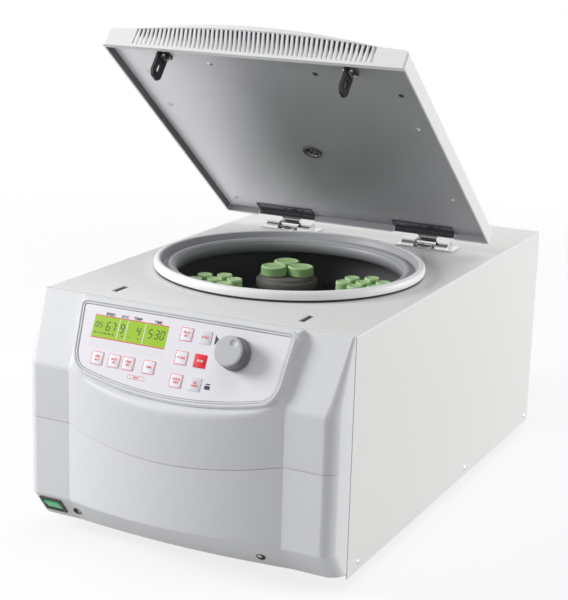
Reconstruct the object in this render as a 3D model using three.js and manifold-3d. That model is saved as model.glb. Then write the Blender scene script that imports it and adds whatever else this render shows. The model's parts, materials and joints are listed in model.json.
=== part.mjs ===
// Refrigerated bench centrifuge with a swing-out rotor, shown with its lid open.
// Millimetres, +Z up, +X to the right and +Y to the back. The origin is on the floor, under the
// centre of the machine. Pieces are laid out in the case frame: x = 0 on the middle line,
// y = 0 at the front edge of the sheet-metal cover and z = 0 at its lower edge.

import * as THREE from 'three';
import { mergeVertices } from 'three/addons/utils/BufferGeometryUtils.js';
import Module from 'manifold-3d';

const wasm = await Module();
wasm.setup();

// Clearances used everywhere
const touchGap = 0.3;
const cutOverrun = 4;

// Bowl, its gasket and its insulation: the case is built round them
const bowlRadius = 187;
const bowlDepth = 182.5;
const bowlSheet = 1.5;
const bowlCorner = 10;
const bowlShaftHole = 24;
const bowlLedgeWidth = 33;
const bowlMouthRise = 3;
const bowlShoulderDrop = 10;
const bowlSideRoom = 28;
const mouthClearance = 4;
const gasketClearance = 2;
const gasketWidth = 27;
const gasketHeight = 14.4;
const gasketRound = 4;
const insulationThickness = 10.2;
const insulationHole = 90;
const insulationFloor = 26;

// Sheet-metal cover
const coverSheet = 1.5;
const coverBend = 3;
const machineryDepth = 230;

// Base pan, deck, feet and rear panel
const panLift = 3;
const panSheet = 2;
const panFlange = 24;
const panFrontInset = 3;
const footDrop = 13;
const footTopRadius = 18;
const footBottomRadius = 15;
const footInsetX = 62;
const footInsetY = 70;
const rearPanelSheet = 1.5;
const rearPanelInset = 2;
const motorRoom = 79;
const deckSheet = 2;
const deckFrontReach = 204;
const deckBackReach = 206;
const deckHole = 66;

// Front moulding: two pillars with a bowed belly between them
const mouldingGap = 0.8;
const mouldingWall = 3.2;
const pillarWidth = 65;
const pillarReach = 50;
const pillarTopReach = 6;
const pillarCorner = 16;
const pillarTopCorner = 5;
const facetDrop = 87;
const chamferTopZ = 44;
const chamferBottomZ = 8;
const chamferBottomReach = 23;
const bellyBow = 31;
const bellyBaseBow = 10;
const bellyStep = 0.4;
const creaseRise = 6;
const seamZ = 147;
const seamSag = 14;
const seamWidth = 0.6;
const ledgeSag = 13;
const ledgeRoundMin = 3.8;
const ledgeRoundBow = 7;

// Console: a flat panel leaning back, in a raised rim
const panelTilt = THREE.MathUtils.degToRad(25.5);
const panelTopReach = 22;
const panelTopDrop = 6;
const consoleTopReach = 14;
const consoleTopMargin = 5;
const consoleFootInset = 9;
const consoleSide = 8;
const panelEdgeTop = 1.2;
const panelTopCorner = 3;
const panelSideTaper = 5;
const panelSideLength = 58;
const panelCornerInset = 19;
const panelCornerDown = 79.4;
const panelBaseDown = 94.8;
const panelSheet = 1.8;
const rimWidth = 6;
const rimHeight = 2;

// Keys, display and knob, placed by shares of the panel's half width and height
const keyWidthShare = 0.116;
const keyHeightShare = 0.1741;
const keyCorner = 1.2;
const keyThickness = 1.3;
const keyGap = 0.3;
const leftColumnShares = [-0.758, -0.588, -0.446, -0.241];
const leftRowShare = 0.6909;
const rightColumnShares = [0.044, 0.226];
const rightRowShares = [0.1921, 0.4978, 0.7955];
const displayWidthShare = 0.738;
const displayHeightShare = 0.2814;
const displayColumnShare = -0.5063;
const displayRowShare = 0.2805;
const knobColumnShare = 0.537;
const knobRowShare = 0.3364;
const knobRadius = 19;
const knobSkirtRadius = 20.5;
const knobHeight = 23;
const knobEdge = 2;
const knobBoreDepth = 14;
const encoderShaftRadius = 3;
const encoderBodySide = 14;
const boardSideRoom = 19;
const boardHeight = 70;
const boardSheet = 1.6;
const boardStandoff = 7;
const standoffRadius = 4;

// Power switch on the lower chamfer of the left pillar
const switchInset = 32.5;
const switchDown = 20;
const switchWidth = 33;
const switchHeight = 28;
const switchFlange = 1.6;
const switchBorder = 4;
const switchDepth = 17;
const rockerTilt = THREE.MathUtils.degToRad(7);
const rockerProud = 1.8;
const rockerPivotDepth = 4;
const rockerThickness = 7;
const rockerGap = 0.6;

// Motor, its mounts and the drive shaft
const motorRadius = 62;
const motorFlangeRadius = 84;
const motorFlange = 4;
const motorLift = 7;
const motorMountHeight = 10;
const motorMountInner = 69;
const motorMountOuter = 81;
const shaftRadius = 9;
const shaftFloor = 18;
const shaftTopDrop = 7;

// Swing-out rotor with four buckets
const rotorTurn = THREE.MathUtils.degToRad(28);
const rotorDrop = 44;
const rotorThickness = 24;
const rotorHubReach = 43;
const rotorHubHalf = 12;
const rotorBarHalf = 12;
const rotorReach = 146;
const rotorBayHalf = 53;
const rotorNutRadius = 20;
const rotorNutHeight = 12;
const bucketCount = 4;
const bucketPivotRadius = 101;
const bucketPinDrop = 6;
const bucketPinRadius = 5;
const bucketPinReach = 6;
const bucketPinHole = 5.3;
const bucketEarHalf = 9;
const bucketRadius = 46;
const bucketWall = 2.2;
const bucketFloor = 3;
const bucketCorner = 12;
const bucketAbovePivot = 12;
const bucketBelowPivot = 72;
const adapterClearance = 1.8;
const adapterLip = 1.6;
const adapterStep = 6;
const adapterTopRadius = 39;
const adapterAboveBucket = 16;
const largeTubes = 3;
const largeTubeCircle = 21.8;
const largeCapRadius = 18.2;
const largeCapHeight = 12;
const smallTubes = 6;
const smallTubeCircle = 27;
const smallCapRadius = 10.6;
const smallCapHeight = 14;
const tubeNeck = 2;
const tubeNeckInset = 3;

// Lid, in its closed place; the hinge turns it up about the pivot
const lidOpen = THREE.MathUtils.degToRad(38.5);
const pivotBehindGasket = 45;
const pivotRise = 7;
const lidSideInset = 5;
const lidSetback = 23.4;
const lidSkirtDrop = 1.5;
const lidSideHeight = 25;
const lidCrown = 8;
const lidEdgeRound = 7;
const lidPlanCorner = 4;
const lidWall = 2.4;
const linerRecess = 9.8;
const linerSheet = 2;
const gripSideInset = 43;
const gripBottom = 4.5;
const gripTop = 27;
const gripDepth = 4;
const gripLip = 15;
const finPitch = 6.5;
const finThickness = 3.2;
const finBury = 1;
const portSetback = 6.6;
const portRadius = 14;
const portBore = 9;
const portSink = 3;
const portHole = 11;

// Lid latches and the lock under the cover
const latchSideInset = 84;
const latchFrontInset = 22.4;
const latchPlate = 4;
const latchLength = 24;
const latchDrop = 39.6;
const latchWindowLength = 8;
const latchWindowHeight = 11;
const latchWindowUp = 9;
const latchFootWidth = 14;
const latchFootLength = 26;
const latchFootSheet = 2;
const latchNose = 6;
const latchClearX = 2;
const latchClearY = 3.5;
const lockFrontY = 22;
const lockDepth = 34;
const lockHeight = 34;
const lockEnd = 29;
const lockWall = 3;
const lockBackRoom = 1;
const lockRibGap = 12;
const lockRibWidth = 20;
const boltRadius = 3;
const boltLength = 34;
const boltRest = 5;

// Hinges: a leaf under the lid turns on a pin held by two curled lugs on the cover
const hingeSideInset = 105;
const leafHalfWidth = 46;
const leafLength = 20;
const leafSheet = 2;
const leafFlange = 8;
const leafArmHalf = 14.5;
const lugOffset = 26;
const lugHalfWidth = 9.75;
const barrelRadius = 6.2;
const pinRadius = 3;
const hingeFootFront = 16;
const hingeFootBack = 20;
const hingeFootSheet = 2.2;
const hingeFootMargin = 2;
const notchMargin = 1;

// Cooling set in the rear of the case
const compressorSideInset = 103;
const compressorBehindBowl = 120;
const compressorRadius = 64;
const compressorHeight = 150;
const compressorDome = 26;
const compressorFoot = 14;
const condenserSideInset = 33;
const compressorSide = 230;
const condenserDepth = 36;
const condenserHeight = 200;
const condenserFins = 12;
const condenserFinDepth = 10;
const condenserFinShare = 0.5;
const condenserClear = 8;
const fanShare = 0.42;
const fanHubRadius = 22;
const fanWidth = 24;
const fanBlades = 5;
const fanBladeSheet = 3;
const fanShaftRadius = 4;
const fanStandoff = 20;
const fanMotorRadius = 18;
const ventCount = 9;
const ventHeight = 6;
const ventPitch = 16;
const ventShare = 0.75;
const inletSideInset = 65;
const inletZ = 60;
const inletWidth = 48;
const inletHeight = 28;
const inletFlange = 2;
const inletBorder = 7;
const inletDepth = 24;
const inletFloor = 3;

// Facet counts
const roundSegments = 48;
const smallRound = 20;
const bellyColumns = 16;
const cornerColumns = 4;

// Across the machine: the bowl sets the width of the case and of all that follows it
const bowlMouthRadius = bowlRadius - bowlLedgeWidth;
const coverWidth = 2 * (bowlRadius + bowlSideRoom);
const coverInner = coverWidth / 2 - coverSheet;
const bellyHalfWidth = coverWidth / 2 - pillarWidth;
const panelHalfWidth = bellyHalfWidth - consoleSide;
const panelCornerX = panelHalfWidth - panelCornerInset;
const keyWidth = keyWidthShare * panelHalfWidth;
const keyHeight = keyHeightShare * panelBaseDown;
const displayWidth = displayWidthShare * panelHalfWidth;
const displayHeight = displayHeightShare * panelBaseDown;
const displayX = displayColumnShare * panelHalfWidth;
const displayDown = displayRowShare * panelBaseDown;
const knobX = knobColumnShare * panelHalfWidth;
const knobDown = knobRowShare * panelBaseDown;
const boardWidth = 2 * (bellyHalfWidth - boardSideRoom);
const switchX = switchInset - coverWidth / 2;
const lidWidth = coverWidth - 2 * lidSideInset;
const gripHalfWidth = lidWidth / 2 - gripSideInset;
const latchX = coverWidth / 2 - latchSideInset;
const lockHalfWidth = latchX + lockEnd;
const lockRibOuter = latchX - lockRibGap;
const lockRibInner = lockRibOuter - lockRibWidth;
const hingeX = coverWidth / 2 - hingeSideInset;
const compressorX = compressorSideInset - coverWidth / 2;
const condenserWidth = coverWidth - compressorSide;
const condenserX = coverWidth / 2 - condenserSideInset - condenserWidth / 2;
const fanRadius = fanShare * condenserWidth;
const ventWidth = ventShare * condenserWidth;
const inletX = inletSideInset - coverWidth / 2;

// Front to back: lock, bowl, hinge and machinery stand one behind the other
const gasketInner = bowlMouthRadius + gasketClearance;
const gasketRadius = gasketInner + gasketWidth;
const coverHoleRadius = bowlMouthRadius + mouthClearance;
const insulationInner = bowlRadius + bowlSheet + touchGap;
const insulationRadius = insulationInner + insulationThickness;
const bowlY = lockFrontY + lockDepth + lockBackRoom + insulationRadius;
const pivotY = bowlY + gasketRadius + pivotBehindGasket;
const coverDepth = bowlY + insulationRadius + machineryDepth;
const latchY = lockFrontY + lockDepth / 2;
const lidFrontY = latchY - latchFrontInset;
const lidRearY = pivotY - lidSetback;
const lidLength = lidRearY - lidFrontY;
const compressorY = bowlY + insulationRadius + compressorBehindBowl;
const deckFrontY = bowlY - deckFrontReach;
const deckBackY = bowlY + deckBackReach;
const rearPanelOuterY = coverDepth - rearPanelInset;
const rearPanelInnerY = rearPanelOuterY - rearPanelSheet;
const frontMost = pillarReach + bellyBow;

// Upwards: pan, motor, deck, bowl, then the top of the case and the lid
const panTop = panLift + panSheet;
const deckZ = panTop + motorRoom;
const bowlFloorZ = deckZ + insulationFloor + bowlSheet;
const bowlShoulderZ = bowlFloorZ + bowlDepth;
const coverHeight = bowlShoulderZ + bowlShoulderDrop;
const coverUnderside = coverHeight - coverSheet;
const bowlMouthTop = coverHeight + bowlMouthRise;
const facetZ = coverHeight - facetDrop;
const panelTopZ = coverHeight - panelTopDrop;
const pivotZ = coverHeight + pivotRise;
const lidSkirtZ = pivotZ - lidSkirtDrop;
const linerZ = lidSkirtZ + linerRecess;
const motorBottomZ = panTop + motorLift;
const shaftBottomZ = motorBottomZ + shaftFloor;
const rotorTopZ = bowlShoulderZ - rotorDrop;
const rotorBottomZ = rotorTopZ - rotorThickness;
const bucketPivotZ = rotorTopZ - bucketPinDrop;
const shaftTopZ = rotorTopZ - shaftTopDrop;

// Makes a closed solid from a three.js geometry: shared vertices are merged, flat triangles
// dropped and the faces turned outwards.
function solidOf(geometry) {
  const bare = geometry.clone();
  for (const name of Object.keys(bare.attributes)) {
    if (name !== 'position') bare.deleteAttribute(name);
  }
  const merged = mergeVertices(bare);
  const place = merged.attributes.position;
  const kept = [];
  const index = merged.index.array;
  let volume = 0;
  const a = new THREE.Vector3();
  const b = new THREE.Vector3();
  const c = new THREE.Vector3();
  for (let i = 0; i < index.length; i += 3) {
    const [p, q, r] = [index[i], index[i + 1], index[i + 2]];
    if (p === q || q === r || r === p) continue;
    kept.push(p, q, r);
    a.fromBufferAttribute(place, p);
    b.fromBufferAttribute(place, q);
    c.fromBufferAttribute(place, r);
    volume += a.dot(b.cross(c));
  }
  if (volume < 0) kept.reverse();
  const mesh = new wasm.Mesh({
    numProp: 3,
    vertProperties: Float32Array.from(place.array),
    triVerts: Uint32Array.from(kept),
  });
  return new wasm.Manifold(mesh);
}

function geometryOf(solid) {
  const mesh = solid.getMesh();
  const geometry = new THREE.BufferGeometry();
  geometry.setAttribute('position', new THREE.BufferAttribute(Float32Array.from(mesh.vertProperties), 3));
  geometry.setIndex(new THREE.BufferAttribute(Uint32Array.from(mesh.triVerts), 1));
  geometry.computeVertexNormals();
  return geometry;
}

// A box between two corners.
function box(low, high) {
  const size = high.map((value, i) => value - low[i]);
  const geometry = new THREE.BoxGeometry(...size);
  geometry.translate(...low.map((value, i) => value + size[i] / 2));
  return solidOf(geometry);
}

// A round bar along x, y or z from one place to another, centred on the other two coordinates.
function bar(axis, radius, from, to, centre, segments = smallRound) {
  const geometry = new THREE.CylinderGeometry(radius, radius, to - from, segments);
  geometry.translate(0, (from + to) / 2, 0);
  if (axis === 'x') geometry.rotateZ(-Math.PI / 2);
  if (axis === 'z') geometry.rotateX(Math.PI / 2);
  const places = { x: [0, ...centre], y: [centre[0], 0, centre[1]], z: [...centre, 0] };
  geometry.translate(...places[axis]);
  return solidOf(geometry);
}

// A turned piece about the Z axis; its profile is a closed run of [radius, height] points.
function turned(profile, segments = roundSegments) {
  const points = [...profile, profile[0]].map(([radius, z]) => new THREE.Vector2(radius, z));
  const geometry = new THREE.LatheGeometry(points, segments);
  geometry.rotateX(Math.PI / 2);
  return solidOf(geometry);
}

// Extrudes a shape drawn in x and z along y, or one drawn in x and y along z.
function extrudeY(shape, from, to, curveSegments = 8) {
  const geometry = new THREE.ExtrudeGeometry(shape, { depth: to - from, bevelEnabled: false, curveSegments });
  geometry.rotateX(Math.PI / 2);
  geometry.translate(0, to, 0);
  return solidOf(geometry);
}

function extrudeZ(shape, from, to, curveSegments = 8) {
  const geometry = new THREE.ExtrudeGeometry(shape, { depth: to - from, bevelEnabled: false, curveSegments });
  geometry.translate(0, 0, from);
  return solidOf(geometry);
}

// Extrudes a shape drawn in y and z along x.
function extrudeX(shape, from, to, curveSegments = 8) {
  const geometry = new THREE.ExtrudeGeometry(shape, { depth: to - from, bevelEnabled: false, curveSegments });
  geometry.applyMatrix4(new THREE.Matrix4().set(0, 0, 1, from, 1, 0, 0, 0, 0, 1, 0, 0, 0, 0, 0, 1));
  return solidOf(geometry);
}

function polygon(points) {
  return new THREE.Shape(points.map(([x, y]) => new THREE.Vector2(x, y)));
}

// A rectangle about a centre with rounded corners.
function roundedRectangle(width, height, corner, centreX = 0, centreY = 0) {
  const [x0, x1] = [centreX - width / 2, centreX + width / 2];
  const [y0, y1] = [centreY - height / 2, centreY + height / 2];
  const shape = new THREE.Shape();
  shape.moveTo(x0 + corner, y0);
  shape.lineTo(x1 - corner, y0);
  shape.absarc(x1 - corner, y0 + corner, corner, -Math.PI / 2, 0);
  shape.lineTo(x1, y1 - corner);
  shape.absarc(x1 - corner, y1 - corner, corner, 0, Math.PI / 2);
  shape.lineTo(x0 + corner, y1);
  shape.absarc(x0 + corner, y1 - corner, corner, Math.PI / 2, Math.PI);
  shape.lineTo(x0, y0 + corner);
  shape.absarc(x0 + corner, y0 + corner, corner, Math.PI, Math.PI * 1.5);
  return shape;
}

function join(first, ...others) {
  return others.reduce((whole, solid) => whole.add(solid), first);
}

function cut(first, ...others) {
  return others.reduce((whole, solid) => whole.subtract(solid), first);
}

function finish(color, roughness, metalness) {
  return new THREE.MeshStandardMaterial({ color, roughness, metalness });
}

function piece(group, name, solid, material) {
  const mesh = new THREE.Mesh(geometryOf(solid), material);
  mesh.name = name;
  group.add(mesh);
  return mesh;
}

// Cover: one bent sheet, open at the front, the back and below.
function makeCover() {
  const outline = (inset) => {
    const half = coverWidth / 2 - inset;
    const top = coverHeight - inset;
    const bend = inset === 0 ? coverBend : coverSheet / 2;
    return { half, top, bend };
  };
  const outer = outline(0);
  const inner = outline(coverSheet);
  const shape = new THREE.Shape();
  shape.moveTo(outer.half, 0);
  shape.lineTo(outer.half, outer.top - outer.bend);
  shape.absarc(outer.half - outer.bend, outer.top - outer.bend, outer.bend, 0, Math.PI / 2);
  shape.lineTo(-outer.half + outer.bend, outer.top);
  shape.absarc(-outer.half + outer.bend, outer.top - outer.bend, outer.bend, Math.PI / 2, Math.PI);
  shape.lineTo(-outer.half, 0);
  shape.lineTo(-inner.half, 0);
  shape.lineTo(-inner.half, inner.top - inner.bend);
  shape.absarc(-inner.half + inner.bend, inner.top - inner.bend, inner.bend, Math.PI, Math.PI / 2, true);
  shape.lineTo(inner.half - inner.bend, inner.top);
  shape.absarc(inner.half - inner.bend, inner.top - inner.bend, inner.bend, Math.PI / 2, 0, true);
  shape.lineTo(inner.half, 0);
  let sheet = extrudeY(shape, 0, coverDepth, 5);
  const [low, high] = [coverUnderside - cutOverrun, coverHeight + cutOverrun];
  sheet = cut(sheet, bar('z', coverHoleRadius, low, high, [0, bowlY], roundSegments));
  const slotHalfX = latchPlate / 2 + latchClearX;
  const slotHalfY = latchLength / 2 + latchClearY;
  const slotY = latchY;
  for (const side of [-1, 1]) {
    const x = side * latchX;
    sheet = cut(sheet, box([x - slotHalfX, slotY - slotHalfY, low], [x + slotHalfX, slotY + slotHalfY, high]));
  }
  return sheet;
}

// Base pan: a shallow tray that carries everything.
function makeBasePan() {
  const half = coverInner - touchGap;
  const back = rearPanelInnerY - touchGap;
  const tray = box([-half, panFrontInset, panLift], [half, back, panTop + panFlange]);
  const inside = [half - panSheet, back - panSheet];
  return cut(tray, box([-inside[0], panFrontInset + panSheet, panTop], [inside[0], inside[1], panTop + panFlange + cutOverrun]));
}

function makeFoot() {
  const top = panLift - touchGap;
  return turned([[0, -footDrop], [footBottomRadius, -footDrop], [footTopRadius, top], [0, top]], smallRound);
}

// Rear panel with cooling slots and the opening for the mains inlet.
function makeRearPanel() {
  const half = coverInner - touchGap;
  const bottom = panTop + touchGap;
  const top = coverUnderside - 2 * touchGap;
  let panel = box([-half, rearPanelInnerY, bottom], [half, rearPanelOuterY, top]);
  const [front, back] = [rearPanelInnerY - cutOverrun, rearPanelOuterY + cutOverrun];
  const ventMiddle = panTop + condenserHeight / 2;
  for (let i = 0; i < ventCount; i += 1) {
    const z = ventMiddle + (i - (ventCount - 1) / 2) * ventPitch;
    panel = cut(panel, box([condenserX - ventWidth / 2, front, z], [condenserX + ventWidth / 2, back, z + ventHeight]));
  }
  const hole = [inletWidth / 2 + touchGap, inletHeight / 2 + touchGap];
  return cut(panel, box([inletX - hole[0], front, inletZ - hole[1]], [inletX + hole[0], back, inletZ + hole[1]]));
}

// Mains inlet: a flanged socket set in the rear panel, open to the back.
function makeMainsInlet() {
  const half = [inletWidth / 2, inletHeight / 2];
  const flangeY = rearPanelOuterY + touchGap;
  const body = box([inletX - half[0], flangeY - inletDepth, inletZ - half[1]], [inletX + half[0], flangeY, inletZ + half[1]]);
  const flange = box(
    [inletX - half[0] - inletBorder, flangeY, inletZ - half[1] - inletFlange],
    [inletX + half[0] + inletBorder, coverDepth, inletZ + half[1] + inletFlange],
  );
  const mouth = [half[0] - inletBorder, half[1] - inletFlange * 2];
  const well = box(
    [inletX - mouth[0], flangeY - inletDepth + inletFloor, inletZ - mouth[1]],
    [inletX + mouth[0], coverDepth + cutOverrun, inletZ + mouth[1]],
  );
  return cut(join(body, flange), well);
}

// Deck: a folded bridge over the motor that carries the bowl.
function makeDeck() {
  const half = coverInner - touchGap - panSheet - touchGap;
  const top = deckZ + deckSheet;
  const foot = panTop + touchGap;
  const bridge = box([-half, deckFrontY, foot], [half, deckBackY, top]);
  const under = box([-half + deckSheet, deckFrontY - cutOverrun, foot - cutOverrun], [half - deckSheet, deckBackY + cutOverrun, deckZ]);
  return cut(bridge, under, bar('z', deckHole, deckZ - cutOverrun, top + cutOverrun, [0, bowlY], roundSegments));
}

// How far the belly bows at a share of its half width, from 1 on the middle line to 0 at a pillar.
const bow = (share) => 1 - share * share;

// The front shells are skins over a grid of columns. A column is a place across the front, and
// each row gives its height and its reach forward; the belly, the pillars and the rounded outer
// corners are columns of the same grid.
function frontColumns() {
  const columns = [];
  for (let i = 0; i <= bellyColumns; i += 1) {
    columns.push({ kind: 'belly', share: (2 * i) / bellyColumns - 1 });
  }
  const outward = [{ kind: 'pillar', angle: null }];
  for (let i = 0; i <= cornerColumns; i += 1) outward.push({ kind: 'pillar', angle: (i / cornerColumns) * Math.PI / 2 });
  outward.push({ kind: 'back' });
  const right = outward.map((column) => ({ ...column, side: 1 }));
  const left = outward.map((column) => ({ ...column, side: -1 })).reverse();
  return [...left, ...columns, ...right];
}

// One point of the front skin. A row holds the belly's and the pillar's reach and height, the
// belly's half width there, and the radius of the outer corner.
function frontPoint(column, row) {
  if (column.kind === 'belly') {
    const x = column.share * (row.edge - bellyStep / 2);
    return row.flush ? [x, -mouldingGap, row.bellyZ(bow(column.share))]
      : [x, -row.bellyReach(bow(column.share)), row.bellyZ(bow(column.share))];
  }
  const outerX = coverWidth / 2;
  if (column.kind === 'back') return [column.side * outerX, -mouldingGap, row.pillarZ];
  if (column.angle === null) {
    const x = column.side * (bellyHalfWidth + bellyStep / 2);
    return [x, row.flush ? -mouldingGap : -row.pillarReach, row.pillarZ];
  }
  const x = outerX - row.corner + row.corner * Math.sin(column.angle);
  const reach = row.pillarReach - row.corner * (1 - Math.cos(column.angle));
  return [column.side * x, row.flush ? -mouldingGap : -reach, row.pillarZ];
}

// Gives a skin of grid points a wall behind it and closes its open edges.
function shellOf(grid, wall) {
  const rows = grid.length;
  const columns = grid[0].length;
  const skin = new THREE.BufferGeometry();
  skin.setAttribute('position', new THREE.Float32BufferAttribute(grid.flat(2), 3));
  const faces = [];
  for (let r = 0; r + 1 < rows; r += 1) {
    for (let c = 0; c + 1 < columns; c += 1) {
      const corner = r * columns + c;
      faces.push(corner, corner + columns, corner + 1, corner + 1, corner + columns, corner + columns + 1);
    }
  }
  skin.setIndex(faces);
  const merged = mergeVertices(skin);
  merged.computeVertexNormals();
  const place = merged.attributes.position;
  const normal = merged.attributes.normal;
  const outer = place.count;
  const points = Array.from(place.array);
  for (let i = 0; i < outer; i += 1) {
    points.push(place.getX(i) - normal.getX(i) * wall);
    points.push(place.getY(i) - normal.getY(i) * wall);
    points.push(place.getZ(i) - normal.getZ(i) * wall);
  }
  const kept = [];
  const edges = new Map();
  const index = merged.index.array;
  for (let i = 0; i < index.length; i += 3) {
    const face = [index[i], index[i + 1], index[i + 2]];
    if (new Set(face).size < 3) continue;
    kept.push(...face, face[0] + outer, face[2] + outer, face[1] + outer);
    for (let e = 0; e < 3; e += 1) {
      const [p, q] = [face[e], face[(e + 1) % 3]];
      if (edges.has(`${q},${p}`)) edges.delete(`${q},${p}`);
      else edges.set(`${p},${q}`, [p, q]);
    }
  }
  for (const [p, q] of edges.values()) kept.push(q, p, p + outer, q, p + outer, q + outer);
  const closed = new THREE.BufferGeometry();
  closed.setAttribute('position', new THREE.Float32BufferAttribute(points, 3));
  closed.setIndex(kept);
  return solidOf(closed);
}

// Moves a solid's geometry from a tilted plane's own frame, with x across, y up the slope and z
// out of it, to the case frame.
function onPlane(shape, from, to, angle, origin, curveSegments = 8) {
  const geometry = new THREE.ExtrudeGeometry(shape, { depth: to - from, bevelEnabled: false, curveSegments });
  geometry.translate(0, 0, from);
  geometry.rotateX(angle);
  geometry.translate(...origin);
  return solidOf(geometry);
}

const panelAngle = Math.PI / 2 - panelTilt;
const panelOrigin = [0, -panelTopReach, panelTopZ];
const onPanel = (shape, from, to, curveSegments) => onPlane(shape, from, to, panelAngle, panelOrigin, curveSegments);
const panelFloor = -panelSheet - touchGap;

// The height and reach of a point down the panel, at a level above its face.
const panelReachAt = (down, level) => panelTopReach + down * Math.sin(panelTilt) + level * Math.cos(panelTilt);
const panelZAt = (down, level) => panelTopZ - down * Math.cos(panelTilt) + level * Math.sin(panelTilt);

// The panel's outline: straight top, sides leaning in, round lower corners and a sagging base.
function panelOutline(margin) {
  const top = -panelEdgeTop + margin;
  const half = panelHalfWidth + margin;
  const sideX = half - panelSideTaper;
  const sideY = -panelSideLength;
  const cornerX = panelCornerX + margin / 2;
  const cornerY = -panelCornerDown - margin;
  const base = -panelBaseDown - margin;
  const shape = new THREE.Shape();
  shape.moveTo(-half, top - panelTopCorner);
  shape.lineTo(-sideX, sideY);
  shape.quadraticCurveTo(-sideX + panelSideTaper / 2, cornerY + panelSideTaper, -cornerX, cornerY);
  shape.quadraticCurveTo(0, 2 * base - cornerY, cornerX, cornerY);
  shape.quadraticCurveTo(sideX - panelSideTaper / 2, cornerY + panelSideTaper, sideX, sideY);
  shape.lineTo(half, top - panelTopCorner);
  shape.quadraticCurveTo(half, top, half - panelTopCorner, top);
  shape.lineTo(-half + panelTopCorner, top);
  shape.quadraticCurveTo(-half, top, -half, top - panelTopCorner);
  return shape;
}

const keyPlaces = [
  ...leftColumnShares.map((share) => [share * panelHalfWidth, -leftRowShare * panelBaseDown]),
  ...rightRowShares.flatMap((row) => rightColumnShares.map((share) => [share * panelHalfWidth, -row * panelBaseDown])),
];

// Rows of the front skin from the top of the console down to the bottom flange.
function facetReach(z) {
  const share = (coverHeight - z) / (coverHeight - facetZ);
  return pillarTopReach + (pillarReach - pillarTopReach) * Math.min(share, 1);
}

function facetCorner(z) {
  const share = (coverHeight - z) / (coverHeight - facetZ);
  return pillarTopCorner + (pillarCorner - pillarTopCorner) * Math.min(share, 1);
}

const bellyReach = (b) => pillarReach + bellyBow * b;
const ledgeRound = (b) => ledgeRoundMin + ledgeRoundBow * b;
const ledgeZ = (b) => facetZ - ledgeSag * b;
const seamAt = (b) => seamZ - seamSag * b;

function pillarRow(z) {
  return { pillarZ: z, pillarReach: facetReach(z), corner: facetCorner(z), edge: bellyHalfWidth };
}

function upperRows() {
  const topDown = -consoleTopMargin;
  const footDown = (b) => panelCornerDown + (panelBaseDown - panelCornerDown) * b + rimWidth + ledgeRoundMin / 2;
  const halfRound = Math.SQRT1_2;
  return [
    { ...pillarRow(coverHeight), flush: true, bellyReach: () => mouldingGap, bellyZ: () => coverHeight },
    { ...pillarRow(coverHeight), bellyReach: () => consoleTopReach, bellyZ: () => coverHeight },
    {
      ...pillarRow(panelZAt(topDown, panelFloor)),
      bellyReach: () => panelReachAt(topDown, panelFloor),
      bellyZ: () => panelZAt(topDown, panelFloor),
    },
    {
      ...pillarRow(panelZAt(footDown(0), panelFloor)),
      edge: bellyHalfWidth - consoleFootInset,
      bellyReach: (b) => panelReachAt(footDown(b), panelFloor),
      bellyZ: (b) => panelZAt(footDown(b), panelFloor),
    },
    { ...pillarRow(facetZ), bellyReach: (b) => bellyReach(b) - ledgeRound(b), bellyZ: ledgeZ },
    {
      ...pillarRow(facetZ - ledgeRoundMin * (1 - halfRound)),
      bellyReach: (b) => bellyReach(b) - ledgeRound(b) * (1 - halfRound),
      bellyZ: (b) => ledgeZ(b) - ledgeRound(b) * (1 - halfRound),
    },
    { ...pillarRow(facetZ - ledgeRoundMin), bellyReach, bellyZ: (b) => ledgeZ(b) - ledgeRound(b) },
    { ...pillarRow(seamZ + seamWidth / 2), bellyReach, bellyZ: (b) => seamAt(b) + seamWidth / 2 },
  ];
}

function lowerRows() {
  const base = { corner: pillarCorner, edge: bellyHalfWidth };
  return [
    { ...base, pillarZ: seamZ - seamWidth / 2, pillarReach, bellyReach, bellyZ: (b) => seamAt(b) - seamWidth / 2 },
    { ...base, pillarZ: chamferTopZ, pillarReach, bellyReach, bellyZ: (b) => chamferTopZ + creaseRise * b },
    {
      ...base,
      pillarZ: chamferBottomZ,
      pillarReach: chamferBottomReach,
      bellyReach: (b) => chamferBottomReach + bellyBaseBow * b,
      bellyZ: () => chamferBottomZ,
    },
    {
      ...base,
      flush: true,
      pillarZ: chamferBottomZ,
      pillarReach: chamferBottomReach,
      bellyReach: () => mouldingGap,
      bellyZ: () => chamferBottomZ,
    },
  ];
}

// Upper front shell with the console: the rim stands round the panel, and the wall behind it is
// open for the display, the keys and the knob's shaft.
function makeFrontUpperShell() {
  const columns = frontColumns();
  const grid = upperRows().map((row) => columns.map((column) => frontPoint(column, row)));
  const rim = cut(
    onPanel(panelOutline(rimWidth), panelFloor - rimHeight / 2, rimHeight, 6),
    onPanel(panelOutline(touchGap), panelFloor - rimHeight, rimHeight + cutOverrun, 6),
  );
  let shell = join(shellOf(grid, mouldingWall), rim);
  const [low, high] = [panelFloor - mouldingWall - cutOverrun, panelFloor + cutOverrun];
  shell = cut(shell, onPanel(roundedRectangle(displayWidth, displayHeight, keyCorner, displayX, -displayDown), low, high, 1));
  const shaftHole = new THREE.Shape();
  shaftHole.absarc(knobX, -knobDown, encoderShaftRadius * 2, 0, Math.PI * 2);
  return cut(shell, onPanel(shaftHole, low, high, 4));
}

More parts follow.
